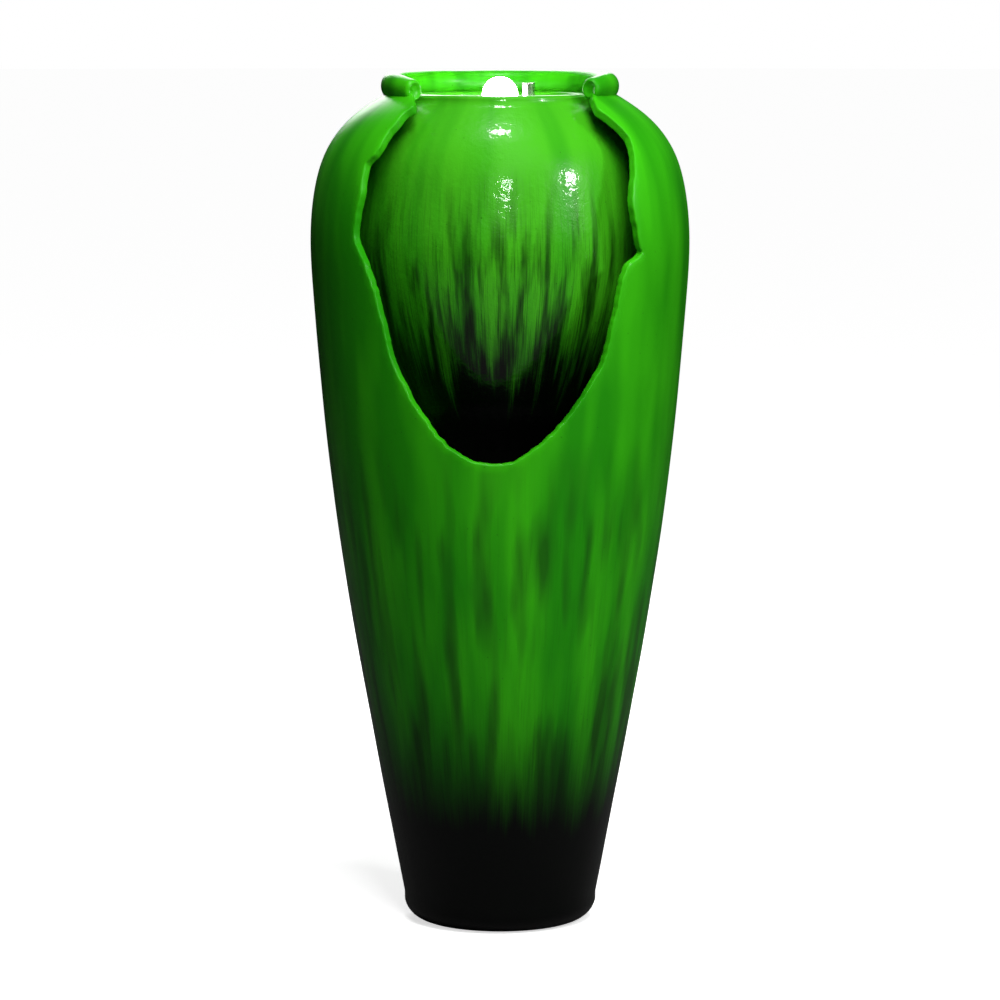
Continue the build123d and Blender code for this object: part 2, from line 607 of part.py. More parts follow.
with BuildPart() as pump_body:
    with BuildSketch(pump_plane(PUMP_FACE_Y)):
        RectangleRounded(PUMP_WIDTH, PUMP_HEIGHT, PUMP_CORNER)
    extrude(amount=PUMP_DEPTH)
    with BuildSketch(pump_plane(PUMP_FACE_Y + PUMP_WALL)):
        inner_width, inner_height = PUMP_WIDTH - 2 * PUMP_WALL, PUMP_HEIGHT - 2 * PUMP_WALL
        RectangleRounded(inner_width, inner_height, PUMP_CORNER - PUMP_WALL)
        Circle(WELL_RADIUS + WELL_WALL, mode=Mode.SUBTRACT)
    extrude(amount=PUMP_DEPTH, mode=Mode.SUBTRACT)
    with BuildSketch(pump_plane(PUMP_FACE_Y + WELL_DEPTH + WELL_WALL)):
        Circle(WELL_RADIUS + 2 * WELL_WALL)
    extrude(amount=PUMP_DEPTH, mode=Mode.SUBTRACT)
    with BuildSketch(pump_plane(PUMP_FACE_Y)):
        Circle(WELL_RADIUS)
    extrude(amount=WELL_DEPTH, mode=Mode.SUBTRACT)
    with BuildSketch(Plane((PUMP_X, PUMP_FACE_Y + PUMP_DEPTH - 12.0, PUMP_AXIS))):
        Circle(PUMP_LEAD_RADIUS + RUNNING_GAP)
    extrude(amount=PUMP_HEIGHT, mode=Mode.SUBTRACT)
finish(pump_body.part, "pump_body")

with BuildPart() as pump_end_cap:
    with BuildSketch(pump_plane(PUMP_FACE_Y + PUMP_DEPTH)):
        RectangleRounded(PUMP_WIDTH, PUMP_HEIGHT, PUMP_CORNER)
    extrude(amount=PUMP_WALL)
    with BuildSketch(pump_plane(PUMP_FACE_Y + PUMP_DEPTH)):
        gap = 2 * (PUMP_WALL + RUNNING_GAP)
        RectangleRounded(PUMP_WIDTH - gap, PUMP_HEIGHT - gap, PUMP_CORNER - PUMP_WALL)
    extrude(amount=-2.0)
finish(pump_end_cap.part, "pump_end_cap")

with BuildPart() as volute_seal:
    with BuildSketch(pump_plane(PUMP_FACE_Y - VOLUTE_SEAL)):
        Circle(SEAL_OUTER)
        Circle(SEAL_INNER, mode=Mode.SUBTRACT)
    extrude(amount=VOLUTE_SEAL)
finish(volute_seal.part, "volute_seal")

with BuildPart() as volute_cover:
    with BuildSketch(pump_plane(PLATE_Y)):
        Circle(CHAMBER_RADIUS + 4.0)
    extrude(amount=PUMP_FACE_Y - PLATE_Y)
    with BuildSketch(Plane((SPOUT_X, SPOUT_Y, PUMP_AXIS))):
        Circle(SPOUT_RADIUS)
    extrude(amount=SPOUT_TOP - PUMP_AXIS)
    with BuildSketch(pump_plane(PLATE_Y + VOLUTE_PLATE)):
        Circle(CHAMBER_RADIUS)
    extrude(amount=CHAMBER_ROOM, mode=Mode.SUBTRACT)
    with BuildSketch(pump_plane(PUMP_FACE_Y - VOLUTE_SEAL)):
        Circle(SEAL_OUTER + 0.2)
    extrude(amount=2 * VOLUTE_SEAL, mode=Mode.SUBTRACT)
    with BuildSketch(pump_plane(PLATE_Y)):
        Circle(EYE_RADIUS)
    extrude(amount=VOLUTE_PLATE, mode=Mode.SUBTRACT)
    with BuildSketch(pump_plane(PLATE_Y)):
        Circle(BUSH_RADIUS + 1.5)
        with PolarLocations(EYE_RADIUS / 2 + 1.0, 3):
            Rectangle(EYE_RADIUS + 1.0, 1.6)
        Circle(BUSH_RADIUS, mode=Mode.SUBTRACT)
    extrude(amount=VOLUTE_PLATE)
    with BuildSketch(Plane((SPOUT_X, SPOUT_Y, PUMP_AXIS))):
        Circle(SPOUT_RADIUS - HOSE_WALL / 2 - 0.4)
    extrude(amount=SPOUT_TOP, mode=Mode.SUBTRACT)
finish(volute_cover.part, "volute_cover")

with BuildPart() as rotor_magnet:
    with BuildSketch(pump_plane(PUMP_FACE_Y + ROTOR_START)):
        Circle(ROTOR_RADIUS)
        Circle(SHAFT_RADIUS + RUNNING_GAP, mode=Mode.SUBTRACT)
    extrude(amount=ROTOR_LENGTH)
finish(rotor_magnet.part, "rotor_magnet")

with BuildPart() as impeller:
    with BuildSketch(pump_plane(PUMP_FACE_Y - DISC_START)):
        Circle(IMPELLER_RADIUS)
    extrude(amount=DISC_THICKNESS)
    with BuildSketch(pump_plane(PLATE_Y + VOLUTE_PLATE + BLADE_GAP)):
        with PolarLocations((IMPELLER_RADIUS + HUB_RADIUS) / 2 - BLADE_BITE, 6):
            Rectangle(IMPELLER_RADIUS - HUB_RADIUS, BLADE_THICKNESS)
        Circle(HUB_RADIUS)
    extrude(amount=CHAMBER_ROOM - BLADE_GAP - HUB_START)
    with BuildSketch(pump_plane(PUMP_FACE_Y - HUB_START)):
        Circle(HUB_RADIUS)
    extrude(amount=HUB_START + ROTOR_START)
    with BuildSketch(pump_plane(PLATE_Y)):
        Circle(SHAFT_RADIUS + RUNNING_GAP)
    extrude(amount=CHAMBER_ROOM * 2, mode=Mode.SUBTRACT)
finish(impeller.part, "impeller")

with BuildPart() as rotor_shaft:
    with BuildSketch(pump_plane(SHAFT_FRONT)):
        Circle(SHAFT_RADIUS)
    extrude(amount=SHAFT_END - SHAFT_FRONT)
finish(rotor_shaft.part, "rotor_shaft")

with BuildPart() as shaft_bushes:
    front, rear = (PLATE_Y, BUSH_RADIUS - 0.05), (SHAFT_END + 0.5 - BUSH_LENGTH, WELL_RADIUS - 0.1)
    for y, radius in (front, rear):
        with BuildSketch(pump_plane(y)):
            Circle(radius)
            Circle(SHAFT_RADIUS + 0.02, mode=Mode.SUBTRACT)
        extrude(amount=BUSH_LENGTH)
finish(shaft_bushes.part, "shaft_bushes")

LEG_INNER = WELL_RADIUS + WELL_WALL + 0.6
LEG_WIDTH = 6.5
LEG_HEIGHT = 16.0
LEG_START = PUMP_FACE_Y + PUMP_WALL + 1.0
CORE_END = PUMP_FACE_Y + PUMP_DEPTH - 5.0
COIL_THICKNESS = 3.5
COIL_LENGTH = 10.0
YOKE = 6.0

with BuildPart() as stator_core:
    with BuildSketch(pump_plane(LEG_START)):
        with Locations((LEG_INNER + LEG_WIDTH / 2, 0), (-LEG_INNER - LEG_WIDTH / 2, 0)):
            Rectangle(LEG_WIDTH, LEG_HEIGHT)
    extrude(amount=CORE_END - LEG_START)
    with BuildSketch(pump_plane(CORE_END - YOKE)):
        Rectangle(2 * (LEG_INNER + LEG_WIDTH), LEG_HEIGHT)
    extrude(amount=YOKE)
finish(stator_core.part, "stator_core")

with BuildPart() as stator_coils:
    with BuildSketch(pump_plane(CORE_END - YOKE - 0.5)):
        with Locations((LEG_INNER + LEG_WIDTH / 2, 0), (-LEG_INNER - LEG_WIDTH / 2, 0)):
            RectangleRounded(LEG_WIDTH + 2 * COIL_THICKNESS, LEG_HEIGHT + 2 * COIL_THICKNESS, 2.0)
            Rectangle(LEG_WIDTH + 0.4, LEG_HEIGHT + 0.4, mode=Mode.SUBTRACT)
    extrude(amount=-COIL_LENGTH)
finish(stator_coils.part, "stator_coils")

with BuildPart() as flow_dial:
    with BuildSketch(pump_plane(PLATE_Y - BOND)):
        Circle(DIAL_RADIUS)
        with Locations((DIAL_RADIUS, 0)):
            Rectangle(8.0, 3.0)
        with PolarLocations(EYE_RADIUS - 1.5, 3):
            Circle(2.6, mode=Mode.SUBTRACT)
    extrude(amount=-DIAL_THICKNESS)
finish(flow_dial.part, "flow_dial")

STRAINER_FRONT = PUMP_FACE_Y - STRAINER_LENGTH
STRAINER_FIT = 0.25
with BuildPart() as strainer_cover:
    grip = 2 * (STRAINER_WALL + STRAINER_FIT)
    with BuildSketch(pump_plane(STRAINER_FRONT)):
        RectangleRounded(PUMP_WIDTH + grip, PUMP_HEIGHT + grip, PUMP_CORNER + STRAINER_WALL)
    extrude(amount=STRAINER_LENGTH + STRAINER_LAP)
    with BuildSketch(pump_plane(STRAINER_FRONT + STRAINER_WALL)):
        RectangleRounded(PUMP_WIDTH + 2 * STRAINER_FIT, PUMP_HEIGHT + 2 * STRAINER_FIT, PUMP_CORNER)
    extrude(amount=STRAINER_LENGTH + STRAINER_LAP, mode=Mode.SUBTRACT)
    with BuildSketch(pump_plane(STRAINER_FRONT)):
        with GridLocations(2 * STRAINER_SLOT, 1, 8, 1):
            SlotOverall(PUMP_HEIGHT - 10.0, STRAINER_SLOT, rotation=90)
    extrude(amount=STRAINER_WALL, mode=Mode.SUBTRACT)
    with BuildSketch(Plane((SPOUT_X, SPOUT_Y, PUMP_AXIS))):
        Circle(HOSE_RADIUS + 1.5)
        with Locations((0, STRAINER_LENGTH / 2)):
            Rectangle(2 * HOSE_RADIUS + 3.0, STRAINER_LENGTH)
    extrude(amount=PUMP_HEIGHT, mode=Mode.SUBTRACT)
finish(strainer_cover.part, "strainer_cover")

SPONGE_THICKNESS = 9.0
with BuildPart() as strainer_sponge:
    with BuildSketch(pump_plane(STRAINER_FRONT + STRAINER_WALL + BOND)):
        RectangleRounded(PUMP_WIDTH - 1.0, PUMP_HEIGHT - 1.0, PUMP_CORNER)
    extrude(amount=SPONGE_THICKNESS)
finish(strainer_sponge.part, "strainer_sponge")

CUP_X = PUMP_WIDTH / 2 - CUP_RADIUS - 1.0
CUP_ROWS = (PUMP_FACE_Y + STRAINER_LAP + CUP_RADIUS + 3.0, PUMP_FACE_Y + PUMP_DEPTH - CUP_RADIUS)
CUP_SITES = [(PUMP_X + side * CUP_X, y) for side in (-1, 1) for y in CUP_ROWS]
with BuildPart() as suction_cups:
    with BuildSketch(Plane.XY.offset(FLOOR_TOP)):
        with Locations(*CUP_SITES):
            Circle(CUP_RADIUS)
    with BuildSketch(Plane.XY.offset(FLOOR_TOP + CUP_HEIGHT * 0.6)):
        with Locations(*CUP_SITES):
            Circle(CUP_RADIUS / 2)
    extrude(suction_cups.pending_faces[4:], amount=CUP_HEIGHT * 0.4)
    extrude(suction_cups.pending_faces[:4], amount=CUP_HEIGHT * 0.6, taper=30)
finish(suction_cups.part, "suction_cups")

# ---------------------------------------------------------------- riser hose
HOSE_BOTTOM = SPOUT_TOP - SPOUT_RISE + HOSE_RADIUS
HOSE_TOP = TRAY_BOTTOM - NUT_THICKNESS - 1.0
# Points of the hose from the pump's spout to the fountain outlet
HOSE_ROUTE = (
    (SPOUT_X, SPOUT_Y, HOSE_BOTTOM),
    (SPOUT_X, SPOUT_Y, HOSE_BOTTOM + 80.0),
    (24.0, 5.0, 245.0),
    (HOSE_X, HOSE_Y, SHELF_BOTTOM - 40.0),
    (HOSE_X, HOSE_Y, SHELF_TOP + 70.0),
    (23.0, 12.0, 590.0),
    (OUTLET_X, OUTLET_Y, HOSE_TOP - 85.0),
    (OUTLET_X, OUTLET_Y, HOSE_TOP),
)
finish(tube(HOSE_ROUTE, HOSE_RADIUS, HOSE_BORE / 2, "riser_hose"), "riser_hose")

CLIP_HEIGHT = 7.0
with BuildPart() as hose_clips:
    for x, y, z in (
        (SPOUT_X, SPOUT_Y, HOSE_BOTTOM + 8.0),
        (OUTLET_X, OUTLET_Y, HOSE_TOP - 8.0 - CLIP_HEIGHT),
    ):
        with BuildSketch(Plane((x, y, z))):
            Circle(HOSE_RADIUS + 1.6)
            with Locations((0, HOSE_RADIUS + 3.0)):
                Rectangle(5.0, 6.0)
            Circle(HOSE_RADIUS + SPOUT_GAP, mode=Mode.SUBTRACT)
        extrude(amount=CLIP_HEIGHT)
finish(hose_clips.part, "hose_clips")

# ---------------------------------------------------------------- junction box behind the hatch
BOX_BACK = BOX_Y + BOX_DEPTH
BOX_CENTRE = (BOX_TOP + BOX_BOTTOM) / 2
BOX_SCREW_X = BOX_WIDTH / 2 - 4.0
BOX_SCREW_Z = BOX_HEIGHT / 2 - 4.0
BOX_SCREW_RADIUS = 1.4
BOX_BOSS_RADIUS = BOX_SCREW_RADIUS + 2.0
BOX_CORNER = 3.0
BOX_SEAL = 1.0
LID_FACE = BOX_Y - BOX_SEAL - BOX_LID
GLAND_SITES = (  # lamp, supply and pump: (x, level of the wall, direction, hole through it)
    (-GLAND_OFFSET, BOX_TOP, 1, LED_LEAD_RADIUS),
    (-GLAND_OFFSET, BOX_BOTTOM, -1, CABLE_BORE_RADIUS),
    (GLAND_OFFSET, BOX_BOTTOM, -1, PUMP_LEAD_RADIUS),
)
GLAND_Y = BOX_Y + BOX_DEPTH / 2
GLAND_THREAD = GLAND_RADIUS - 1.2

with BuildPart() as junction_box:
    with BuildSketch(back_plane(0, BOX_Y, BOX_CENTRE)):
        RectangleRounded(BOX_WIDTH, BOX_HEIGHT, BOX_CORNER)
    extrude(amount=BOX_DEPTH)
    with BuildSketch(back_plane(0, BOX_Y, BOX_CENTRE)):
        Rectangle(BOX_WIDTH - 2 * BOX_WALL, BOX_HEIGHT - 2 * BOX_WALL)
        with GridLocations(2 * BOX_SCREW_X, 2 * BOX_SCREW_Z, 2, 2):
            Circle(BOX_BOSS_RADIUS, mode=Mode.SUBTRACT)
    extrude(amount=BOX_DEPTH - BOX_WALL, mode=Mode.SUBTRACT)
    with BuildSketch(back_plane(0, BOX_Y, BOX_CENTRE)):
        with GridLocations(2 * BOX_SCREW_X, 2 * BOX_SCREW_Z, 2, 2):
            Circle(BOX_SCREW_RADIUS + RUNNING_GAP)
    extrude(amount=BOX_DEPTH / 2, mode=Mode.SUBTRACT)
    for x, level, direction, _ in GLAND_SITES:
        with BuildSketch(Plane((x, GLAND_Y, level))):
            Circle(GLAND_THREAD + RUNNING_GAP)
        extrude(amount=-direction * 3.0, mode=Mode.SUBTRACT)
finish(junction_box.part, "junction_box")

with BuildPart() as junction_seal:
    with BuildSketch(back_plane(0, BOX_Y - BOX_SEAL, BOX_CENTRE)):
        RectangleRounded(BOX_WIDTH, BOX_HEIGHT, BOX_CORNER)
        Rectangle(BOX_WIDTH - 2 * BOX_WALL, BOX_HEIGHT - 2 * BOX_WALL, mode=Mode.SUBTRACT)
        with GridLocations(2 * BOX_SCREW_X, 2 * BOX_SCREW_Z, 2, 2):
            Circle(BOX_BOSS_RADIUS)
            Circle(BOX_SCREW_RADIUS + RUNNING_GAP, mode=Mode.SUBTRACT)
    extrude(amount=BOX_SEAL)
finish(junction_seal.part, "junction_seal")

with BuildPart() as junction_lid:
    with BuildSketch(back_plane(0, LID_FACE, BOX_CENTRE)):
        RectangleRounded(BOX_WIDTH, BOX_HEIGHT, BOX_CORNER)
        with GridLocations(2 * BOX_SCREW_X, 2 * BOX_SCREW_Z, 2, 2):
            Circle(BOX_SCREW_RADIUS + RUNNING_GAP, mode=Mode.SUBTRACT)
    extrude(amount=BOX_LID)
finish(junction_lid.part, "junction_lid")

with BuildPart() as junction_screws:
    with BuildSketch(back_plane(0, LID_FACE, BOX_CENTRE)):
        with GridLocations(2 * BOX_SCREW_X, 2 * BOX_SCREW_Z, 2, 2):
            Circle(2 * BOX_SCREW_RADIUS)
    extrude(amount=-2.0)
    with BuildSketch(back_plane(0, LID_FACE, BOX_CENTRE)):
        with GridLocations(2 * BOX_SCREW_X, 2 * BOX_SCREW_Z, 2, 2):
            Circle(BOX_SCREW_RADIUS)
    extrude(amount=BOX_LID + BOX_DEPTH / 2)
finish(junction_screws.part, "junction_screws")

with BuildPart() as junction_glands:
    for x, level, direction, bore in GLAND_SITES:
        with BuildSketch(Plane((x, GLAND_Y, level))):
            RegularPolygon(GLAND_RADIUS, 6)
            Circle(bore + RUNNING_GAP, mode=Mode.SUBTRACT)
        extrude(amount=direction * GLAND_LENGTH)
        with BuildSketch(Plane((x, GLAND_Y, level))):
            Circle(GLAND_THREAD)
            Circle(bore + RUNNING_GAP, mode=Mode.SUBTRACT)
        extrude(amount=-direction * 6.0)
finish(junction_glands.part, "junction_glands")

with BuildPart() as terminal_block:
    with BuildSketch(back_plane(0, BOX_BACK - BOX_WALL, BOX_CENTRE)):
        Rectangle(24.0, 10.0)
        with GridLocations(7.0, 1, 3, 1):
            Circle(1.5, mode=Mode.SUBTRACT)
    extrude(amount=-9.0)
finish(terminal_block.part, "terminal_block")

with BuildPart() as junction_bracket:
    with BuildSketch(back_plane(0, BOX_BACK, BOX_CENTRE)):
        Rectangle(BOX_WIDTH - 10.0, BOX_HEIGHT - 8.0)
    extrude(amount=BOX_DEPTH * 2)
    add(URN_SPACE, mode=Mode.INTERSECT)
finish(junction_bracket.part, "junction_bracket")

# ---------------------------------------------------------------- leads inside the urn
PUMP_LEAD_Y = PUMP_FACE_Y + PUMP_DEPTH - 12.0
PUMP_TOP = PUMP_AXIS + PUMP_HEIGHT / 2
RELIEF_LENGTH = 12.0
with BuildPart() as pump_strain_relief:
    with BuildSketch(Plane((PUMP_X, PUMP_LEAD_Y, PUMP_TOP))):
        Circle(PUMP_LEAD_RADIUS + 3.0)
    with BuildSketch(Plane((PUMP_X, PUMP_LEAD_Y, PUMP_TOP + RELIEF_LENGTH))):
        Circle(PUMP_LEAD_RADIUS + 1.0)
    loft()
    with BuildSketch(Plane((PUMP_X, PUMP_LEAD_Y, PUMP_TOP))):
        Circle(PUMP_LEAD_RADIUS + RUNNING_GAP)
    extrude(amount=RELIEF_LENGTH, mode=Mode.SUBTRACT)
finish(pump_strain_relief.part, "pump_strain_relief")

# Points of the pump's lead, from inside the motor shell up to its gland
PUMP_LEAD_ROUTE = (
    (PUMP_X, PUMP_LEAD_Y, PUMP_TOP - 2.0),
    (PUMP_X, PUMP_LEAD_Y, PUMP_TOP + RELIEF_LENGTH + 14.0),
    (PUMP_X - 2.0, PUMP_LEAD_Y + 15.0, PUMP_TOP + 48.0),
    (GLAND_OFFSET, GLAND_Y - 11.0, PUMP_TOP + 68.0),
    (GLAND_OFFSET, GLAND_Y, BOX_BOTTOM - GLAND_LENGTH - 14.0),
    (GLAND_OFFSET, GLAND_Y, BOX_BOTTOM + 5.0),
)
finish(tube(PUMP_LEAD_ROUTE, PUMP_LEAD_RADIUS, 0.0, "pump_lead"), "pump_lead")

# Points of the lamp's lead, from its stud down through the shelf and back to its gland
LAMP_LEAD_TOP = TRAY_BOTTOM - NUT_THICKNESS + 2.0
LAMP_LEAD_ROUTE = (
    (0.0, 0.0, LAMP_LEAD_TOP),
    (0.0, 0.0, LAMP_LEAD_TOP - 42.0),
    (-5.0, 3.0, 690.0),
    (-13.0, 2.0, 628.0),
    (-17.0, 6.0, 561.0),
    (-24.0, 10.0, 500.0),
    (LEAD_X, LEAD_Y, SHELF_TOP + 42.0),
    (LEAD_X, LEAD_Y, SHELF_BOTTOM - 22.0),
    (-19.0, 22.0, BOX_TOP + 103.0),
    (-21.0, 55.0, BOX_TOP + 62.0),
    (-15.0, 87.0, BOX_TOP + 49.0),
    (-GLAND_OFFSET, GLAND_Y, BOX_TOP + GLAND_LENGTH + 16.0),
    (-GLAND_OFFSET, GLAND_Y, BOX_TOP - 5.0),
)
finish(tube(LAMP_LEAD_ROUTE, LED_LEAD_RADIUS, 0.0, "lamp_lead"), "lamp_lead")

# ---------------------------------------------------------------- rear hatch
SCREW_X = HATCH_WIDTH / 2 - SCREW_INSET
SCREW_Z = HATCH_HEIGHT / 2 - SCREW_INSET
SCREW_SITES = [(x, HATCH_CENTRE + z) for z in (SCREW_Z, -SCREW_Z) for x in (-SCREW_X, SCREW_X)]
SCREW_HOLE = SCREW_SHANK_RADIUS + RUNNING_GAP
FRAME_FRONT = URN_WALL + BOND
HATCH_RING = hatch_prism(FRAME_LAP) - hatch_prism(-FRAME_REACH)
GASKET_RING = hatch_prism(-BOND) - hatch_prism(-FRAME_REACH + BOND)

with BuildPart() as hatch_frame:
    add(urn_skin(FRAME_FRONT, FRAME_FRONT + FRAME_THICKNESS))
    add(HATCH_RING, mode=Mode.INTERSECT)
    for x, z in SCREW_SITES:
        with BuildSketch(back_plane(x, 0, z)):
            Circle(INSERT_RADIUS + 0.02)
        extrude(amount=BELLY_RADIUS, mode=Mode.SUBTRACT)
finish(hatch_frame.part, "hatch_frame")

with BuildPart() as hatch_inserts:
    for x, z in SCREW_SITES:
        with BuildSketch(back_plane(x, back_y(x, z, FRAME_FRONT + 2.0), z)):
            Circle(INSERT_RADIUS)
            Circle(SCREW_HOLE, mode=Mode.SUBTRACT)
        extrude(amount=-INSERT_LENGTH)
finish(hatch_inserts.part, "hatch_inserts")

with BuildPart() as hatch_gasket:
    add(urn_skin(HATCH_THICKNESS + BOND, URN_WALL))
    add(GASKET_RING, mode=Mode.INTERSECT)
    for x, z in SCREW_SITES:
        with BuildSketch(back_plane(x, 0, z)):
            Circle(SCREW_SHANK_RADIUS + FIT_GAP)
        extrude(amount=BELLY_RADIUS, mode=Mode.SUBTRACT)
finish(hatch_gasket.part, "hatch_gasket")

with BuildPart() as hatch_cover:
    add(urn_skin(0, HATCH_THICKNESS))
    add(hatch_prism(0), mode=Mode.INTERSECT)
    for x, z in SCREW_SITES:
        with BuildSketch(back_plane(x, back_y(x, z, SCREW_SINK), z)):
            Circle(SCREW_HEAD_RADIUS + 1.0)
        extrude(amount=BELLY_RADIUS, mode=Mode.SUBTRACT)
        with BuildSketch(back_plane(x, 0, z)):
            Circle(SCREW_HOLE)
        extrude(amount=BELLY_RADIUS, mode=Mode.SUBTRACT)
finish(hatch_cover.part, "hatch_cover")

with BuildPart() as screw_seals:
    for x, z in SCREW_SITES:
        with BuildSketch(back_plane(x, back_y(x, z, SCREW_SINK), z)):
            Circle(SCREW_HEAD_RADIUS - 1.5)
            Circle(SCREW_SHANK_RADIUS + RUNNING_GAP, mode=Mode.SUBTRACT)
        extrude(amount=SCREW_SEAL)
finish(screw_seals.part, "screw_seals")

KNURLS = 14
for number, (x, z) in enumerate(SCREW_SITES, start=1):
    seat = back_y(x, z, SCREW_SINK) + SCREW_SEAL
    tip = back_y(x, z, FRAME_FRONT + 2.0) - INSERT_LENGTH
    with BuildPart() as screw:
        with BuildSketch(back_plane(x, seat, z)):
            Circle(SCREW_HEAD_RADIUS)
        extrude(amount=SCREW_HEAD_HEIGHT)
        fillet(screw.edges().group_by(Axis.Y)[-1], radius=1.2)
        with BuildSketch(back_plane(x, seat + 1.5, z)):
            with PolarLocations(SCREW_HEAD_RADIUS + 0.3, KNURLS):
                Circle(0.9)
        extrude(amount=SCREW_HEAD_HEIGHT, mode=Mode.SUBTRACT)
        with BuildSketch(back_plane(x, seat + SCREW_HEAD_HEIGHT, z)):
            Rectangle(1.6, 9.0)
        extrude(amount=-2.0, mode=Mode.SUBTRACT)
        with BuildSketch(back_plane(x, tip, z)):
            Circle(SCREW_SHANK_RADIUS)
        extrude(amount=seat - tip)
    finish(screw.part, f"hatch_thumbscrew_{number}")

# ---------------------------------------------------------------- cable grommet and drain
FLANGE_THICKNESS = 3.0
OUTER_FLANGE = urn_skin(-BOND - FLANGE_THICKNESS, -BOND)

with BuildPart() as cable_grommet:
    with BuildSketch(back_plane(0, 0, CABLE_HEIGHT)):
        Circle(CABLE_FLANGE_RADIUS)
    extrude(amount=BELLY_RADIUS)
    add(OUTER_FLANGE, mode=Mode.INTERSECT)
    inner_end = URN_WALL + FLANGE_THICKNESS + 2.0
    with BuildSketch(back_plane(0, back_y(0, CABLE_HEIGHT, inner_end), CABLE_HEIGHT)):
        Circle(CABLE_HOLE_RADIUS - BOND)
    extrude(amount=inner_end + FLANGE_THICKNESS / 2)
    with BuildSketch(back_plane(0, 0, CABLE_HEIGHT)):
        Circle(CABLE_BORE_RADIUS)
    extrude(amount=BELLY_RADIUS, mode=Mode.SUBTRACT)
finish(cable_grommet.part, "cable_grommet")

PLUG_HEAD_RADIUS = 11.0
DRAIN_INNER = back_y(0, DRAIN_HEIGHT, URN_WALL + 8.0)
DRAIN_FACE = back_y(0, DRAIN_HEIGHT + PLUG_HEAD_RADIUS, 0) + BOND + FLANGE_THICKNESS
with BuildPart() as drain_bush:
    with BuildSketch(back_plane(0, 0, DRAIN_HEIGHT)):
        Circle(DRAIN_FLANGE_RADIUS)
    extrude(amount=BELLY_RADIUS)
    add(OUTER_FLANGE, mode=Mode.INTERSECT)
    with BuildSketch(back_plane(0, DRAIN_INNER, DRAIN_HEIGHT)):
        Circle(DRAIN_HOLE_RADIUS - BOND)
    extrude(amount=DRAIN_FACE - DRAIN_INNER)
    with BuildSketch(back_plane(0, 0, DRAIN_HEIGHT)):
        Circle(DRAIN_BORE_RADIUS)
    extrude(amount=BELLY_RADIUS, mode=Mode.SUBTRACT)
finish(drain_bush.part, "drain_bush")

DRAIN_NUT_RADIUS = DRAIN_HOLE_RADIUS + 4.0
DRAIN_NUT_Y = back_y(DRAIN_NUT_RADIUS, DRAIN_HEIGHT - DRAIN_NUT_RADIUS, URN_WALL) - BOND
with BuildPart() as drain_nut:
    with BuildSketch(back_plane(0, DRAIN_NUT_Y, DRAIN_HEIGHT)):
        RegularPolygon(DRAIN_NUT_RADIUS, 6)
        Circle(DRAIN_HOLE_RADIUS - BOND + RUNNING_GAP, mode=Mode.SUBTRACT)
    extrude(amount=-NUT_THICKNESS)
finish(drain_nut.part, "drain_nut")

PLUG_HEAD = 8.0
PLUG_SEAT = DRAIN_FACE + BOND
with BuildPart() as drain_plug:
    with BuildSketch(back_plane(0, DRAIN_INNER + 2.0, DRAIN_HEIGHT)):
        Circle(DRAIN_BORE_RADIUS - RUNNING_GAP)
    extrude(amount=PLUG_SEAT - DRAIN_INNER - 2.0)
    with BuildSketch(back_plane(0, PLUG_SEAT, DRAIN_HEIGHT)):
        Circle(PLUG_HEAD_RADIUS)
        with PolarLocations(PLUG_HEAD_RADIUS + 0.5, 12):
            Circle(1.4, mode=Mode.SUBTRACT)
    extrude(amount=PLUG_HEAD)
    with BuildSketch(back_plane(0, DRAIN_INNER + 5.0, DRAIN_HEIGHT)):
        Circle(DRAIN_BORE_RADIUS)
        Circle(DRAIN_BORE_RADIUS - 1.2, mode=Mode.SUBTRACT)
    extrude(amount=2.4, mode=Mode.SUBTRACT)
finish(drain_plug.part, "drain_plug")

with BuildPart() as drain_plug_seal:
    with BuildSketch(back_plane(0, DRAIN_INNER + 5.2, DRAIN_HEIGHT)):
        Circle(DRAIN_BORE_RADIUS - 0.02)
        Circle(DRAIN_BORE_RADIUS - 1.1, mode=Mode.SUBTRACT)
    extrude(amount=2.0)
finish(drain_plug_seal.part, "drain_plug_seal")
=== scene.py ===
"""Looks of a tall glazed-urn water fountain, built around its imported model.

The outer urn and the inner jar are thrown and glazed stoneware, modelled here in full.
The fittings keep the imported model's shapes and get softened edges and real finishes.
"""
from __future__ import annotations

import logging
import math
from dataclasses import dataclass, field
from enum import Enum
from typing import Iterable, Sequence

import bmesh
import bpy
import numpy as np
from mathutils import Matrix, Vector, noise
from mathutils.geometry import delaunay_2d_cdt


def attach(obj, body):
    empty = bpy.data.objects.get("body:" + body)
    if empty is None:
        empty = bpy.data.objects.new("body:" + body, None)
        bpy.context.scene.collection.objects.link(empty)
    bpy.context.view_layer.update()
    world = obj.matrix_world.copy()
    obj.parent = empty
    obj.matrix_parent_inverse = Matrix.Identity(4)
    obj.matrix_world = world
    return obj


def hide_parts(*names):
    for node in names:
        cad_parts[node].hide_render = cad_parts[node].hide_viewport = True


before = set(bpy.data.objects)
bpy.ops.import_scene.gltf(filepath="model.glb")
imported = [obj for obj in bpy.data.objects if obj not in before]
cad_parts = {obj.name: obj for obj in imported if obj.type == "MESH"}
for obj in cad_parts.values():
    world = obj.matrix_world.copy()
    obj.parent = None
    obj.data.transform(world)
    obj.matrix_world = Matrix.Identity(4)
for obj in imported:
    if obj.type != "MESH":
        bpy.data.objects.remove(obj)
LOG = logging.getLogger("urn_fountain")
MM = 0.001
CREASE = math.radians(50)  # edges sharper than this stay crisp
LATHE_GRAIN = 70.0  # mm across one swell of a lathed surface
NOISE_RADIUS = 0.15  # metres round the axis at which glaze streaks are measured

Pair = tuple[float, float]


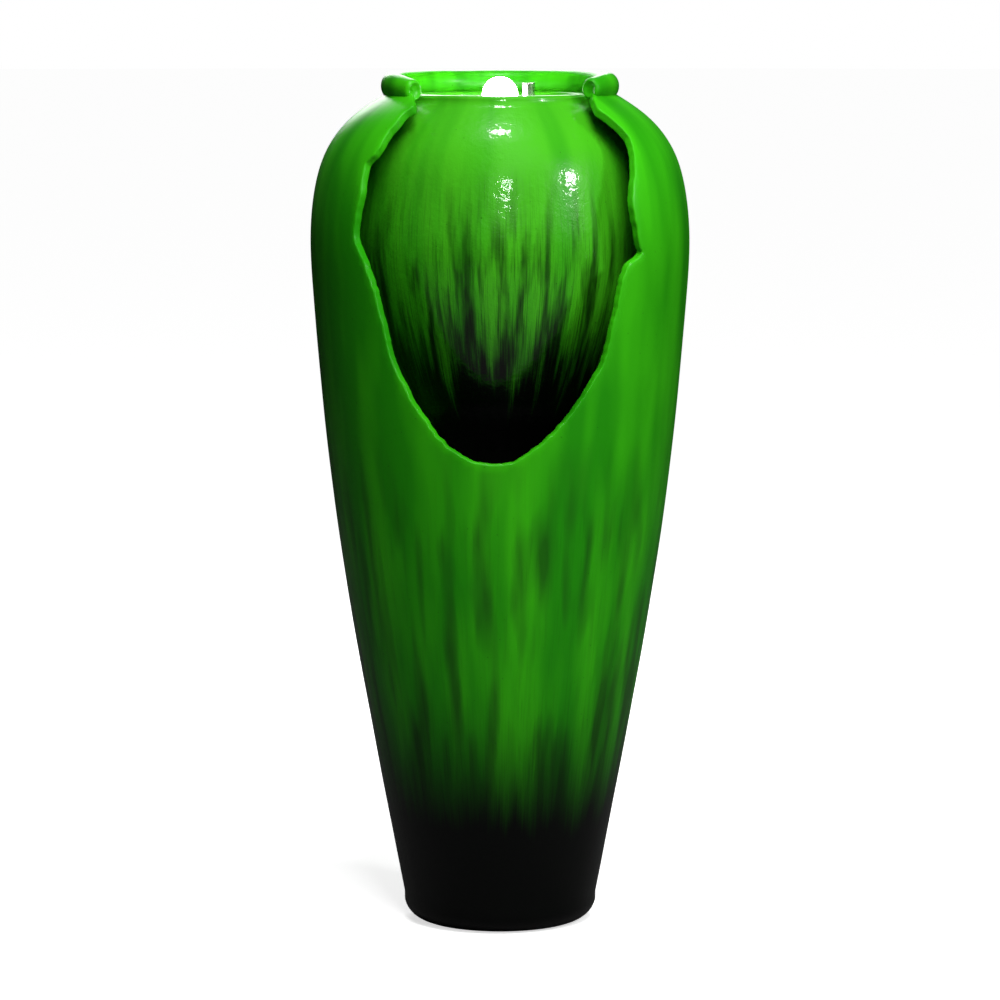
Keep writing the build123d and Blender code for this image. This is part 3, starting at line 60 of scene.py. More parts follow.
# ---------------------------------------------------------------- curves
class CubicPath:
    """Natural cubic curve through points, measured by its length along the chords."""

    def __init__(self, points: Sequence[Pair], step: float = 1.0) -> None:
        """Fits the curve.

        Args:
            points: the points it passes through.
            step: spacing of the samples kept along it.
        """
        knots = np.asarray(points, float)
        chord = np.r_[0, np.cumsum(np.hypot(*np.diff(knots, axis=0).T))]
        count = max(8, int(chord[-1] / step))
        t = np.linspace(0, chord[-1], count)
        self.samples = np.stack([self._fit(chord, knots[:, k], t) for k in (0, 1)], axis=1)
        self.lengths = np.r_[0, np.cumsum(np.hypot(*np.diff(self.samples, axis=0).T))]

    @staticmethod
    def _fit(chord: np.ndarray, values: np.ndarray, t: np.ndarray) -> np.ndarray:
        """Evaluates one coordinate of the natural cubic.

        Args:
            chord: parameter of each point.
            values: the coordinate at each point.
            t: parameters to evaluate at.

        Returns:
            The coordinate at each parameter in t.
        """
        n, h = len(chord), np.diff(chord)
        matrix, right = np.eye(n), np.zeros(n)
        for i in range(1, n - 1):
            matrix[i, i - 1 : i + 2] = h[i - 1], 2 * (h[i - 1] + h[i]), h[i]
            slopes = np.diff(values[i - 1 : i + 2]) / h[i - 1 : i + 1]
            right[i] = 6 * (slopes[1] - slopes[0])
        bend = np.linalg.solve(matrix, right)
        k = np.clip(np.searchsorted(chord, t, side="right") - 1, 0, n - 2)
        a, b = chord[k + 1] - t, t - chord[k]
        cubic = (bend[k] * a**3 + bend[k + 1] * b**3) / (6 * h[k])
        left = (values[k] / h[k] - bend[k] * h[k] / 6) * a
        return cubic + left + (values[k + 1] / h[k] - bend[k + 1] * h[k] / 6) * b


class Outline:
    """Side view of a turned body: radius and height by distance along the surface."""

    def __init__(self, samples: np.ndarray) -> None:
        """Keeps the samples with their lengths and outward normals.

        Args:
            samples: radius and height, from the foot upwards.
        """
        self.samples = samples
        self.lengths = np.r_[0, np.cumsum(np.hypot(*np.diff(samples, axis=0).T))]
        tangent = np.gradient(samples, self.lengths, axis=0)
        tangent /= np.linalg.norm(tangent, axis=1)[:, None]
        self.normals = np.stack([tangent[:, 1], -tangent[:, 0]], axis=1)

    def at(self, along: float, depth: float = 0.0) -> Pair:
        """Radius and height at a distance along the surface and a depth below it.

        Args:
            along: distance from the foot.
            depth: distance inwards, at right angles to the surface.

        Returns:
            Radius and height.
        """
        radius, height, out, up = (
            float(np.interp(along, self.lengths, column))
            for column in (*self.samples.T, *self.normals.T)
        )
        return radius - depth * out, height - depth * up

    def along(self, height: float) -> float:
        """Distance along the surface of a height, where heights only rise."""
        return float(np.interp(height, self.samples[:, 1], self.lengths))


def arc(centre: Pair, radius: float, start: float, end: float, count: int = 8) -> list[Pair]:
    """Points on a round stretch of a side view.

    Args:
        centre: radius and height of its centre.
        radius: its size.
        start: first angle in degrees, 0 outwards and 90 upwards.
        end: last angle.
        count: number of steps.

    Returns:
        The points, both ends included.
    """
    angles = np.radians(np.linspace(start, end, count + 1))
    return [(centre[0] + radius * math.cos(a), centre[1] + radius * math.sin(a)) for a in angles]


# ---------------------------------------------------------------- meshes
def on_circle(angle: float, radius: float, height: float) -> Vector:
    """Point in metres at an angle in radians from the front, from sizes in millimetres."""
    return Vector((radius * math.sin(angle), -radius * math.cos(angle), height)) * MM


def hand_wobble(point: Vector, amount: float, grain: float) -> float:
    """Unevenness that a hand-thrown surface keeps.

    Args:
        point: place in metres.
        amount: greatest depth in millimetres.
        grain: size of one swell in millimetres.

    Returns:
        Depth below the true surface, in millimetres, never negative.
    """
    return amount * 0.5 * (1 + noise.noise(point / (grain * MM)))


def mesh_object(name: str, mesh: bpy.types.Mesh, material: bpy.types.Material) -> bpy.types.Object:
    """Makes a smooth-shaded piece from a mesh.

    Args:
        name: name of the piece.
        mesh: its mesh, in metres, in the frame's axes.
        material: its finish.

    Returns:
        The new object, linked to the scene.
    """
    mesh.materials.clear()
    mesh.materials.append(material)
    mesh.shade_smooth()
    piece = bpy.data.objects.new(name, mesh)
    bpy.context.scene.collection.objects.link(piece)
    return piece


def bmesh_to_mesh(shape: bmesh.types.BMesh, name: str) -> bpy.types.Mesh:
    """Turns an edit mesh into a plain mesh with outward faces.

    Args:
        shape: the edit mesh, which is freed.
        name: name of the result.

    Returns:
        The new mesh.
    """
    bmesh.ops.recalc_face_normals(shape, faces=shape.faces)
    mesh = bpy.data.meshes.new(name)
    shape.to_mesh(mesh)
    shape.free()
    return mesh


def lathe(section: Sequence[Pair], steps: int, wobble: float) -> bmesh.types.BMesh:
    """Turns a closed section round the axis.

    Args:
        section: radius and height of its corners, in millimetres, none on the axis.
        steps: divisions round the axis.
        wobble: hand unevenness in millimetres.

    Returns:
        The turned shape.
    """
    shape = bmesh.new()
    rings = []
    for radius, height in section:
        ring = []
        for k in range(steps):
            angle = 2 * math.pi * k / steps
            dent = hand_wobble(on_circle(angle, radius, height), wobble, LATHE_GRAIN)
            ring.append(shape.verts.new(on_circle(angle, radius - dent, height)))
        rings.append(ring)
    for low, high in zip(rings, rings[1:] + rings[:1]):
        for k in range(steps):
            n = (k + 1) % steps
            shape.faces.new((low[k], low[n], high[n], high[k]))
    return shape


def cut_away(target: bpy.types.Object, cutters: Iterable[bpy.types.Object]) -> None:
    """Cuts other shapes out of a piece and removes them.

    Args:
        target: the piece to cut.
        cutters: the shapes to take away.
    """
    for cutter in cutters:
        modifier = target.modifiers.new("cut", "BOOLEAN")
        modifier.operation, modifier.solver, modifier.object = "DIFFERENCE", "EXACT", cutter
        graph = bpy.context.evaluated_depsgraph_get()
        mesh = bpy.data.meshes.new_from_object(target.evaluated_get(graph))
        target.modifiers.clear()
        target.data = mesh
        bpy.data.objects.remove(cutter)
    target.data.shade_smooth()
    target.data.set_sharp_from_angle(angle=CREASE)


def back_prism(name: str, outline: Sequence[Pair], near: float, far: float) -> bpy.types.Object:
    """Solid that runs along +Y with a given outline.

    Args:
        name: its name.
        outline: x and z of its corners, in millimetres.
        near: y where it starts.
        far: y where it ends.

    Returns:
        The solid as an object.
    """
    shape = bmesh.new()
    first, second = (
        [shape.verts.new(Vector((x, y, z)) * MM) for x, z in outline] for y in (near, far)
    )
    shape.faces.new(first)
    shape.faces.new(second)
    for k in range(len(outline)):
        n = (k + 1) % len(outline)
        shape.faces.new((first[k], first[n], second[n], second[k]))
    piece = bpy.data.objects.new(name, bmesh_to_mesh(shape, name))
    bpy.context.scene.collection.objects.link(piece)
    return piece


class Shell:
    """Corners and faces gathered for one mesh, in millimetres."""

    def __init__(self) -> None:
        """Starts empty."""
        self.points: list[Sequence[float]] = []
        self.faces: list[Sequence[int]] = []
        self.cut_faces: set[int] = set()

    def add(self, points: Iterable[Sequence[float]]) -> list[int]:
        """Adds corners.

        Args:
            points: x, y and z of each.

        Returns:
            The number of each new corner.
        """
        first = len(self.points)
        self.points.extend(points)
        return list(range(first, len(self.points)))

    def strip(self, low: Sequence[int], high: Sequence[int], cut: bool = False) -> None:
        """Joins two closed rings of as many corners by four-sided faces.

        Args:
            low: first ring.
            high: second ring.
            cut: whether the faces belong to a broken edge.
        """
        for k in range(len(low)):
            n = (k + 1) % len(low)
            if cut:
                self.cut_faces.add(len(self.faces))
            self.faces.append((low[k], low[n], high[n], high[k]))

    def cap(self, ring: Sequence[int], centre: Sequence[float], cut: bool = False) -> None:
        """Closes a ring with a fan to a centre.

        Args:
            ring: the ring's corners.
            centre: x, y and z of the middle.
            cut: whether the faces belong to a broken edge.
        """
        (middle,) = self.add([centre])
        for k in range(len(ring)):
            if cut:
                self.cut_faces.add(len(self.faces))
            self.faces.append((ring[k], ring[(k + 1) % len(ring)], middle))

    def mesh(self, name: str) -> bpy.types.Mesh:
        """Makes the mesh, with broken faces on its second material.

        Args:
            name: name of the mesh.

        Returns:
            The mesh, in metres, with its faces turned outwards.
        """
        mesh = bpy.data.meshes.new(name)
        mesh.from_pydata([Vector(p) * MM for p in self.points], [], self.faces)
        for index in self.cut_faces:
            mesh.polygons[index].material_index = 1
        shape = bmesh.new()
        shape.from_mesh(mesh)
        bmesh.ops.recalc_face_normals(shape, faces=shape.faces)
        shape.to_mesh(mesh)
        shape.free()
        return mesh


# ---------------------------------------------------------------- outer urn
@dataclass
class OuterUrn:
    """Tall thick-walled pot with its front broken open, thrown and glazed."""

    body: str = "urn"
    line: tuple[Pair, ...] = (
        (91, 0), (123.3, 169), (163.4, 410.7), (185.2, 630.4), (187.5, 680.2),
        (183.3, 729.2), (171.1, 769), (149.7, 798.1), (110, 826.1),
    )
    wall: float = 9.0
    foot_rounding: float = 24.0
    foot_inner: float = 53.0  # inner radius of the ring it stands on
    floor_top: float = 16.0
    recess: float = 6.0
    rim_radius: float = 106.5
    rim_half: Pair = (11.0, 13.5)
    rim_level: float = 831.5
    rim_ends: Pair = (54.5, 309.0)  # degrees from the front, round the back
    columns: int = 192
    row: float = 6.0
    window: int = 36  # columns each side of the front that hold the break
    window_low: float = 440.0
    net_low: float = 27.0  # level where the wall's net starts, above the rounded foot
    foot_slope: float = 11.3  # degrees that the wall leans out above the foot
    foot_fade: float = 20.0  # height over which the hand's unevenness grows from nothing
    edge_step: float = 2.6  # spacing of points along the break
    edge_clear: float = 3.2  # room the net leaves around the break
    swell: float = 0.7  # depth of the hand's unevenness
    swell_grain: float = 85.0
    hatch: tuple[float, float, float] = (306.9, 61.5, 66.5)  # level, half width, half height
    hatch_corner: float = 16.5
    ports: tuple[Pair, ...] = ((156.9, 8.0), (45.0, 9.0))  # level and radius
    # Edge of the break from its upper left end: degrees from the front, height
    edge: tuple[Pair, ...] = (
        (-51.5, 826), (-46, 821), (-40.8, 815), (-43.4, 808), (-42.8, 799), (-44.1, 792),
        (-44.2, 779), (-45.8, 769), (-48.5, 761), (-48.1, 745), (-47.7, 732), (-49, 707),
        (-49.4, 689), (-48.6, 683), (-45.6, 670), (-42.4, 649), (-40.2, 627), (-38.5, 606),
        (-36.1, 573), (-33.4, 558), (-29.9, 538), (-26.4, 523), (-21.6, 503), (-17.7, 491),
        (-12.6, 481), (-8.3, 475), (-2, 473.5), (4.6, 475), (7.9, 482), (13, 492), (17.3, 503),
        (21.6, 516), (26.8, 536), (31.2, 556), (34.3, 571), (37.1, 606), (38.7, 632),
        (39.9, 652), (42, 664), (46.2, 670), (48.1, 676), (46.2, 684), (45.8, 695), (44.7, 711),
        (44.2, 725), (45.6, 739), (47.7, 753), (49.9, 770), (51.6, 783), (50.9, 793),
        (49.3, 801), (46.2, 813), (50, 820), (55, 826),
    )

    def __post_init__(self) -> None:
        """Fits the outline."""
        self.outline = Outline(CubicPath(self.line).samples)
        self.top = float(self.outline.lengths[-1])
        self.girth = max(radius for radius, _ in self.line)

    def place(self, flat: np.ndarray, depth: np.ndarray) -> list[Vector]:
        """Points of the wall from their places on its unrolled outline.

        Args:
            flat: angle in radians and distance along the outline, one row each.
            depth: depth of each below the outer surface.

        Returns:
            The points in millimetres.
        """
        line, spots = self.outline, []
        for (angle, along), sink in zip(flat, depth):
            radius, height = line.at(along, sink)
            dent = hand_wobble(on_circle(angle, radius, height), self.swell, self.swell_grain)
            spots.append(on_circle(angle, radius - dent, height) / MM)
        return spots

    def break_line(self) -> np.ndarray:
        """Broken edge on the unrolled wall, roughened and evenly spaced.

        Returns:
            Angle in radians and distance along the outline, from left to right.
        """
        corners = [(math.radians(a), self.outline.along(z)) for a, z in self.edge]
        scale = self.girth
        flat = np.array([(a * scale, s) for a, s in corners])
        dense = [flat[0]]
        for start, end in zip(flat, flat[1:]):
            count = max(1, round(float(np.hypot(*(end - start))) / self.edge_step))
            dense += [start + (end - start) * k / count for k in range(1, count + 1)]
        points = np.array(dense)
        for _ in range(2):
            points[1:-1] = (points[:-2] + 2 * points[1:-1] + points[2:]) / 4
        tangent = np.gradient(points, axis=0)
        tangent /= np.linalg.norm(tangent, axis=1)[:, None]
        normal = np.stack([-tangent[:, 1], tangent[:, 0]], axis=1)
        for k in range(1, len(points) - 1):
            place = Vector((points[k][0], points[k][1], 3.0))
            jag = 1.1 * noise.noise(place / 7) + 0.5 * noise.noise(place / 3)
            points[k] += normal[k] * jag
        points[:, 0] /= scale
        points[0], points[-1] = corners[0], corners[-1]
        return points

    def wall_net(self) -> tuple[np.ndarray, list[Sequence[int]], list[int]]:
        """Net of the unrolled wall with its front broken out.

        Returns:
            Its points, its faces, and the ring of points that runs along the break and
            round the top edge.
        """
        low = self.outline.along(self.net_low)
        rows = max(2, round((self.top - low) / self.row))
        levels = np.linspace(low, self.top, rows + 1)
        base = int(np.searchsorted(levels, self.outline.along(self.window_low)))
        turn = 2 * math.pi / self.columns
        flat = [(j * turn, s) for s in levels for j in range(self.columns)]
        faces: list[Sequence[int]] = []
        inside = set(range(-self.window, self.window))
        for i in range(rows):
            for j in range(-self.columns // 2, self.columns // 2):
                if i >= base and j in inside:
                    continue
                a, b = (i * self.columns + k % self.columns for k in (j, j + 1))
                faces.append((a, b, b + self.columns, a + self.columns))
        return self.fill_window(flat, faces, levels, base)

    def fill_window(
        self, flat: list[Pair], faces: list[Sequence[int]], levels: np.ndarray, base: int
    ) -> tuple[np.ndarray, list[Sequence[int]], list[int]]:
        """Fills the front of the net around the break.

        Args:
            flat: points of the regular net.
            faces: its faces so far.
            levels: distances of its rows along the outline.
            base: number of the row under the front.

        Returns:
            The points, the faces and the ring along the break and the top edge.
        """
        scale, columns = self.girth, self.columns
        turn = 2 * math.pi / columns
        edge = self.break_line()
        outline = [Vector((a * scale, s)) for a, s in edge]
        across = range(-self.window, self.window + 1)
        window = [(i, j) for i in range(base, len(levels)) for j in across]
        border, inner = [], []
        for i, j in window:
            spot = Vector((j * turn * scale, levels[i]))
            on_side = i == base or abs(j) == self.window
            on_top = i == len(levels) - 1 and not edge[0][0] < j * turn < edge[-1][0]
            if on_side or on_top:
                border.append((i, j, spot))
            elif i < len(levels) - 1 and not self.in_break(spot, outline):
                if min((spot - p).length_squared for p in outline) > self.edge_clear**2:
                    inner.append((i, j, spot))
        known = border + inner
        spots = [s for _, _, s in known] + outline
        first = len(known)
        rim = [(first + k, first + k + 1) for k in range(len(outline) - 1)]
        result = delaunay_2d_cdt(spots, rim, [], 0, 1e-5)
        verts, tris, origins = result[0], result[2], result[3]
        numbers: list[int] = []
        for k, spot in enumerate(verts):
            source = origins[k][0] if origins[k] else -1
            if 0 <= source < first:
                i, j, _ = known[source]
                numbers.append(i * columns + j % columns)
            else:
                flat.append((spot.x / scale, spot.y))
                numbers.append(len(flat) - 1)
        for tri in tris:
            middle = sum((verts[k] for k in tri), Vector((0, 0))) / 3
            if not self.in_break(middle, outline):
                faces.append([numbers[k] for k in tri])
        where = {origins[k][0]: numbers[k] for k in range(len(verts)) if origins[k]}
        ring = [where[first + k] for k in range(len(outline))]
        last = (len(levels) - 1) * columns
        right = math.floor(edge[-1][0] / turn) + 1
        left = columns + math.ceil(edge[0][0] / turn) - 1
        ring += [last + j for j in range(right, left + 1)]
        return np.array(flat), faces, ring

    @staticmethod
    def in_break(spot: Vector, outline: Sequence[Vector]) -> bool:
        """Whether a place on the unrolled wall lies in the opening.

        Args:
            spot: the place.
            outline: points of the broken edge, open at the top.

        Returns:
            True inside the opening.
        """
        hit = False
        for a, b in zip(outline, outline[1:]):
            if (a.x > spot.x) != (b.x > spot.x):
                level = a.y + (b.y - a.y) * (spot.x - a.x) / (b.x - a.x)
                hit ^= level < spot.y
        return hit

    def pot(self) -> bpy.types.Mesh:
        """Wall, floor and foot as one closed skin with a rough broken edge.

        Returns:
            The mesh.
        """
        flat, faces, ring = self.wall_net()
        shell = Shell()
        used = sorted({k for face in faces for k in face})
        index = {k: n for n, k in enumerate(used)}
        net = flat[used]
        skins = []
        for depth in (0.0, self.wall):
            first = shell.add(self.place(net, np.full(len(net), depth)))[0]
            skins.append({k: first + n for k, n in index.items()})
            shell.faces += [[skins[-1][k] for k in face] for face in faces]
        self.join_edge(shell, flat[ring], [skins[0][k] for k in ring], [skins[1][k] for k in ring])
        self.close_foot(shell, [skins[0][j] for j in range(self.columns)], True)
        self.close_foot(shell, [skins[1][j] for j in range(self.columns)], False)
        return shell.mesh("urn_pot")

    def join_edge(
        self, shell: Shell, flat: np.ndarray, outer: Sequence[int], inner: Sequence[int]
    ) -> None:
        """Joins the two skins along the break with rounded, chipped corners.

        Args:
            shell: the skin to add to.
            flat: places of the edge on the unrolled wall.
            outer: corners of the outer skin along it.
            inner: corners of the inner skin along it.
        """
        scale = self.girth
        points = flat * (scale, 1)
        points[:, 0] = np.unwrap(flat[:, 0], period=2 * math.pi) * scale
        wrap = np.array((2 * math.pi * scale, 0))
        ahead = np.vstack([points[1:], points[:1] + wrap])
        behind = np.vstack([points[-1:] - wrap, points[:-1]])
        tangent = ahead - behind
        tangent /= np.linalg.norm(tangent, axis=1)[:, None]
        normal = np.stack([-tangent[:, 1], tangent[:, 0]], axis=1)
        for _ in range(3):
            normal = (np.roll(normal, 1, 0) + 2 * normal + np.roll(normal, -1, 0)) / 4
        count, last = len(points), outer
        chips = np.array([self.chip(p) for p in points])
        tired = np.minimum(1.0, np.abs(points[:, 1] - self.top) / 8)
        steps = ((0.25, 0.75), (0.6, 1.15), (1.0, 1.35))
        rings = [(chips * d, 1.3 * w + (chips - 1.3) * 0.5 * w) for d, w in steps]
        for depth in (3.6, 4.9, 6.2):
            rough = np.array([noise.noise(Vector((*p, depth * 3)) / 4) for p in points])
            rings.append((np.maximum(chips + 0.4, depth), 1.5 + 0.75 * rough))
        rings += [(np.full(count, self.wall - 1.1), 1.3), (np.full(count, self.wall - 0.3), 0.8)]
        for depth, reach in rings:
            shifted = points + normal * (reach * tired)[:, None]
            shifted[:, 1] = np.minimum(shifted[:, 1], self.top)
            spots = self.place(shifted / (scale, 1), np.broadcast_to(depth, count))
            new = shell.add(spots)
            shell.strip(last, new, cut=True)
            last = new
        shell.strip(last, inner, cut=True)

    @staticmethod
    def chip(place: np.ndarray) -> float:
        """Depth of the rounding of the outer corner, deeper where it is chipped."""
        flake = noise.noise(Vector((place[0], place[1], 0)) / 16)
        return 1.3 + 2.6 * max(0.0, flake - 0.12)

    def close_foot(self, shell: Shell, ring: Sequence[int], outside: bool) -> None:
        """Closes the bottom of a skin, rounded into the foot or the floor.

        Args:
            shell: the skin to add to.
            ring: its lowest ring.
            outside: whether it is the outer skin.
        """
        depth = 0.0 if outside else self.wall
        rounding = self.foot_rounding - depth
        level = rounding if outside else self.floor_top + rounding
        base = 0.0 if outside else self.floor_top
        reach, _ = self.outline.at(self.outline.along(self.net_low), depth)
        centre = reach - rounding * math.cos(math.radians(self.foot_slope))
        section = arc((centre, level), rounding, -14 if outside else -30, -90, 9)
        if outside:
            lip = self.foot_inner
            section += [(lip + 3, 0), (lip + 1, 0.4), (lip, 1.5), (lip - 0.5, self.recess - 1)]
            section += [(lip - 2, self.recess)]
        inner = section[-1][0]
        for share in (0.8, 0.55, 0.3, 0.12):
            section.append((inner * share, self.recess if outside else base))
        last, turn = list(ring), 2 * math.pi / self.columns
        for radius, height in section:
            spots = []
            for j in range(self.columns):
                place = on_circle(j * turn, radius, height)
                dent = hand_wobble(place, self.swell, self.swell_grain)
                fade = min(1.0, height / self.foot_fade) if outside else 0.0
                spots.append(on_circle(j * turn, radius - dent * fade, height) / MM)
            new = shell.add(spots)
            shell.strip(last, new)
            last = new
        shell.cap(last, (0, 0, section[-1][1]))

    def bead(self) -> bpy.types.Mesh:
        """Rolled rim, broken off at both ends of the opening.

        Returns:
            The mesh.
        """
        shell, around = Shell(), 40
        start, end = self.rim_ends
        inner = list(np.linspace(start + 2.2, end - 2.2, 150))
        tips = (0.0, 0.25, 0.7, 1.3)
        angles = [start + t for t in tips] + inner + [end - t for t in reversed(tips)]
        last: list[int] = []
        for angle in angles:
            gap = min(angle - start, end - angle)
            tired = max(0.0, 1 - gap / 26) ** 1.6
            corner = 1 - 0.2 * max(0.0, 1 - gap / 1.6) ** 2
            low = 3.4 * tired if angle > 180 else 1.5 * tired
            half = (self.rim_half[0] * (1 - 0.1 * tired) * corner,
                    self.rim_half[1] * (1 - 0.2 * tired) * corner)
            spots = []
            for k in range(around):
                turn = 2 * math.pi * k / around
                radius = self.rim_radius + half[0] * math.cos(turn)
                height = self.rim_level - low + half[1] * math.sin(turn)
                place = on_circle(math.radians(angle), radius, height)
                rough = 0.5 * noise.noise(place * 150) * (1 if gap < 1.4 else 0)
                dent = hand_wobble(place, 0.6, 40)
                shrink = 1 - dent / self.rim_half[0]
                spots.append(on_circle(
                    math.radians(angle + rough),
                    self.rim_radius + (radius - self.rim_radius) * shrink,
                    self.rim_level - low + (height - self.rim_level + low) * shrink,
                ) / MM)
            new = shell.add(spots)
            if last:
                shell.strip(last, new, cut=gap < 1.2)
            else:
                self.rim_end(shell, new, angle, 1)
            last = new
        self.rim_end(shell, last, end, -1)
        return shell.mesh("urn_bead")

    def rim_end(self, shell: Shell, ring: list[int], angle: float, inward: int) -> None:
        """Closes one broken end of the rim with a rough, slightly hollow face.

        Args:
            shell: the bead's skin.
            ring: its last ring.
            angle: where it is, in degrees.
            inward: 1 when the bead goes on at larger angles, else -1.
        """
        middle = sum((Vector(shell.points[k]) for k in ring), Vector()) / len(ring)
        away = Vector((math.cos(math.radians(angle)), math.sin(math.radians(angle)), 0)) * inward
        last = ring
        for share, hollow in ((0.86, 0.1), (0.7, 1.0), (0.45, 1.4), (0.2, 1.6)):
            spots = []
            for k in ring:
                spot = middle + (Vector(shell.points[k]) - middle) * share
                rough = 0.5 * noise.noise(spot / 4)
                spots.append(spot + away * (hollow + rough))
            new = shell.add(spots)
            shell.strip(last, new, cut=True)
            last = new
        shell.cap(last, middle + away * 1.6, cut=True)

    def cutters(self) -> list[bpy.types.Object]:
        """Solids for the hatch, the cable and the drain at the back.

        Returns:
            The cutting solids.
        """
        level, wide, tall = self.hatch
        corner = self.hatch_corner
        outline: list[Pair] = []
        for side, (sx, sz) in enumerate(((1, 1), (-1, 1), (-1, -1), (1, -1))):
            centre = (sx * (wide - corner), level + sz * (tall - corner))
            outline += arc(centre, corner, side * 90, side * 90 + 90, 8)
        solids = [back_prism("hatch_cut", outline, 60, 260)]
        for height, radius in self.ports:
            solids.append(back_prism("port_cut", arc((0, height), radius, 0, 352.5, 47), 40, 260))
        return solids

    def build(self, glaze: bpy.types.Material, broken: bpy.types.Material) -> bpy.types.Object:
        """Makes the urn and seats it on its body.

        Args:
            glaze: its glaze.
            broken: finish of its broken edges.

        Returns:
            The piece.
        """
        urn = mesh_object("glazed_outer_urn", self.pot(), glaze)
        urn.data.materials.append(broken)
        rim = mesh_object("rim_bead", self.bead(), glaze)
        rim.data.materials.append(broken)
        joint = urn.modifiers.new("rim", "BOOLEAN")
        joint.operation, joint.solver, joint.object = "UNION", "EXACT", rim
        graph = bpy.context.evaluated_depsgraph_get()
        urn.data = bpy.data.meshes.new_from_object(urn.evaluated_get(graph))
        urn.modifiers.clear()
        bpy.data.objects.remove(rim)
        cut_away(urn, self.cutters())
        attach(urn, self.body)
        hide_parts("outer_urn")
        return urn


# ---------------------------------------------------------------- inner jar
@dataclass
class InnerJar:
    """Round-bellied jar inside the urn, over whose face the water runs."""

    body: str = "urn"
    line: tuple[Pair, ...] = (
        (46, 451.9), (62, 472.4), (99.8, 521.2), (127.8, 581.8), (147.7, 692.5),
        (143.7, 723), (130.4, 771.4), (86, 818),
    )
    foot: Pair = (46.0, 400.2)
    lip: tuple[float, float, float] = (84.0, 820.0, 4.0)
    wall: float = 6.0
    ledge: tuple[float, float, float] = (69.5, 786.0, 793.0)  # inner radius, bottom and top
    columns: int = 224
    swell: float = 0.5

    def section(self) -> list[Pair]:
        """Closed half section, from the foot's outside over the lip and back inside.

        Returns:
            Radius and height of its corners.
        """
        samples = CubicPath(self.line).samples
        outline = Outline(samples)
        total = float(outline.lengths[-1])
        foot_radius, foot_level = self.foot
        points = [(foot_radius - 1.2, foot_level), (foot_radius, foot_level + 1.2)]
        points += [(foot_radius, z) for z in (415.0, 430.0, 444.0)]
        count = round(total / 5)
        points += [outline.at(total * k / count) for k in range(count)]
        points += arc(self.lip[:2], self.lip[2], -10, 178, 12)
        inner_top = outline.along(806.0)
        points.append((80.6, 814.0))
        inner = [outline.at(s, self.wall) for s in np.linspace(inner_top, 0, 90)]
        reach, low, high = self.ledge
        above = [p for p in inner if p[1] > high + 1]
        below = [p for p in inner if p[1] < low - 1]
        points += above
        points += [(above[-1][0], high), (reach + 0.8, high), (reach, high - 0.8)]
        points += [(reach, low + 0.8), (reach + 0.8, low), (below[0][0], low)]
        points += below
        points += [(foot_radius - self.wall, 440.0), (foot_radius - self.wall, foot_level)]
        return points

    def build(self, glaze: bpy.types.Material) -> bpy.types.Object:
        """Makes the jar and seats it on its body.

        Args:
            glaze: its glaze.

        Returns:
            The piece.
        """
        mesh = bmesh_to_mesh(lathe(self.section(), self.columns, self.swell), "jar")
        jar = mesh_object("glazed_inner_jar", mesh, glaze)
        mesh.set_sharp_from_angle(angle=CREASE)
        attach(jar, self.body)
        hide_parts("inner_jar")
        return jar


# ---------------------------------------------------------------- finishes
def linear(code: str) -> tuple[float, float, float, float]:
    """Linear light of an sRGB colour.

    Args:
        code: six hex digits after a #.

    Returns:
        Red, green, blue and full opacity.
    """
    parts = [int(code[k : k + 2], 16) / 255 for k in (1, 3, 5)]
    light = [c / 12.92 if c <= 0.04045 else ((c + 0.055) / 1.055) ** 2.4 for c in parts]
    return (*light, 1.0)


def add_node(
    tree: bpy.types.NodeTree, kind: str, links: dict | None = None, **settings: object
) -> bpy.types.Node:
    """Adds a shader node with its settings and links.

    Args:
        tree: the material's nodes.
        kind: the node's type, without its ShaderNode start.
        links: for each input, by name or number, a value or the output that feeds it.
        settings: the node's own properties; ramp holds a colour ramp's stops.

    Returns:
        The node.
    """
    node = tree.nodes.new("ShaderNode" + kind)
    for name, value in settings.items():
        if name != "ramp":
            setattr(node, name, value)
            continue
        stops = node.color_ramp.elements
        stops.remove(stops[1])
        for n, (place, colour) in enumerate(value):
            stop = stops[0] if n == 0 else stops.new(place)
            stop.position, stop.color = place, colour
    for key, value in (links or {}).items():
        if isinstance(value, bpy.types.NodeSocket):
            tree.links.new(value, node.inputs[key])
        else:
            node.inputs[key].default_value = value
    return node


def grey(value: float) -> tuple[float, float, float, float]:
    """Colour of a ramp's stop that stands for a plain number."""
    return (value, value, value, 1.0)


class Finish:
    """How a surface is made; each kind wires its own material once."""

    _made: dict[str, bpy.types.Material] = {}
    name: str

    def material(self) -> bpy.types.Material:
        """Material of this finish, made on first use.

        Returns:
            The material.
        """
        if self.name not in self._made:
            made = bpy.data.materials.new(self.name)
            made.use_nodes = True
            tree = made.node_tree
            tree.nodes.clear()
            shader = add_node(tree, "BsdfPrincipled")
            add_node(tree, "OutputMaterial", {"Surface": shader.outputs[0]})
            self.wire(tree, shader)
            self._made[self.name] = made
        return self._made[self.name]

    def wire(self, tree: bpy.types.NodeTree, shader: bpy.types.Node) -> None:
        """Joins up the nodes of this finish."""
        raise NotImplementedError


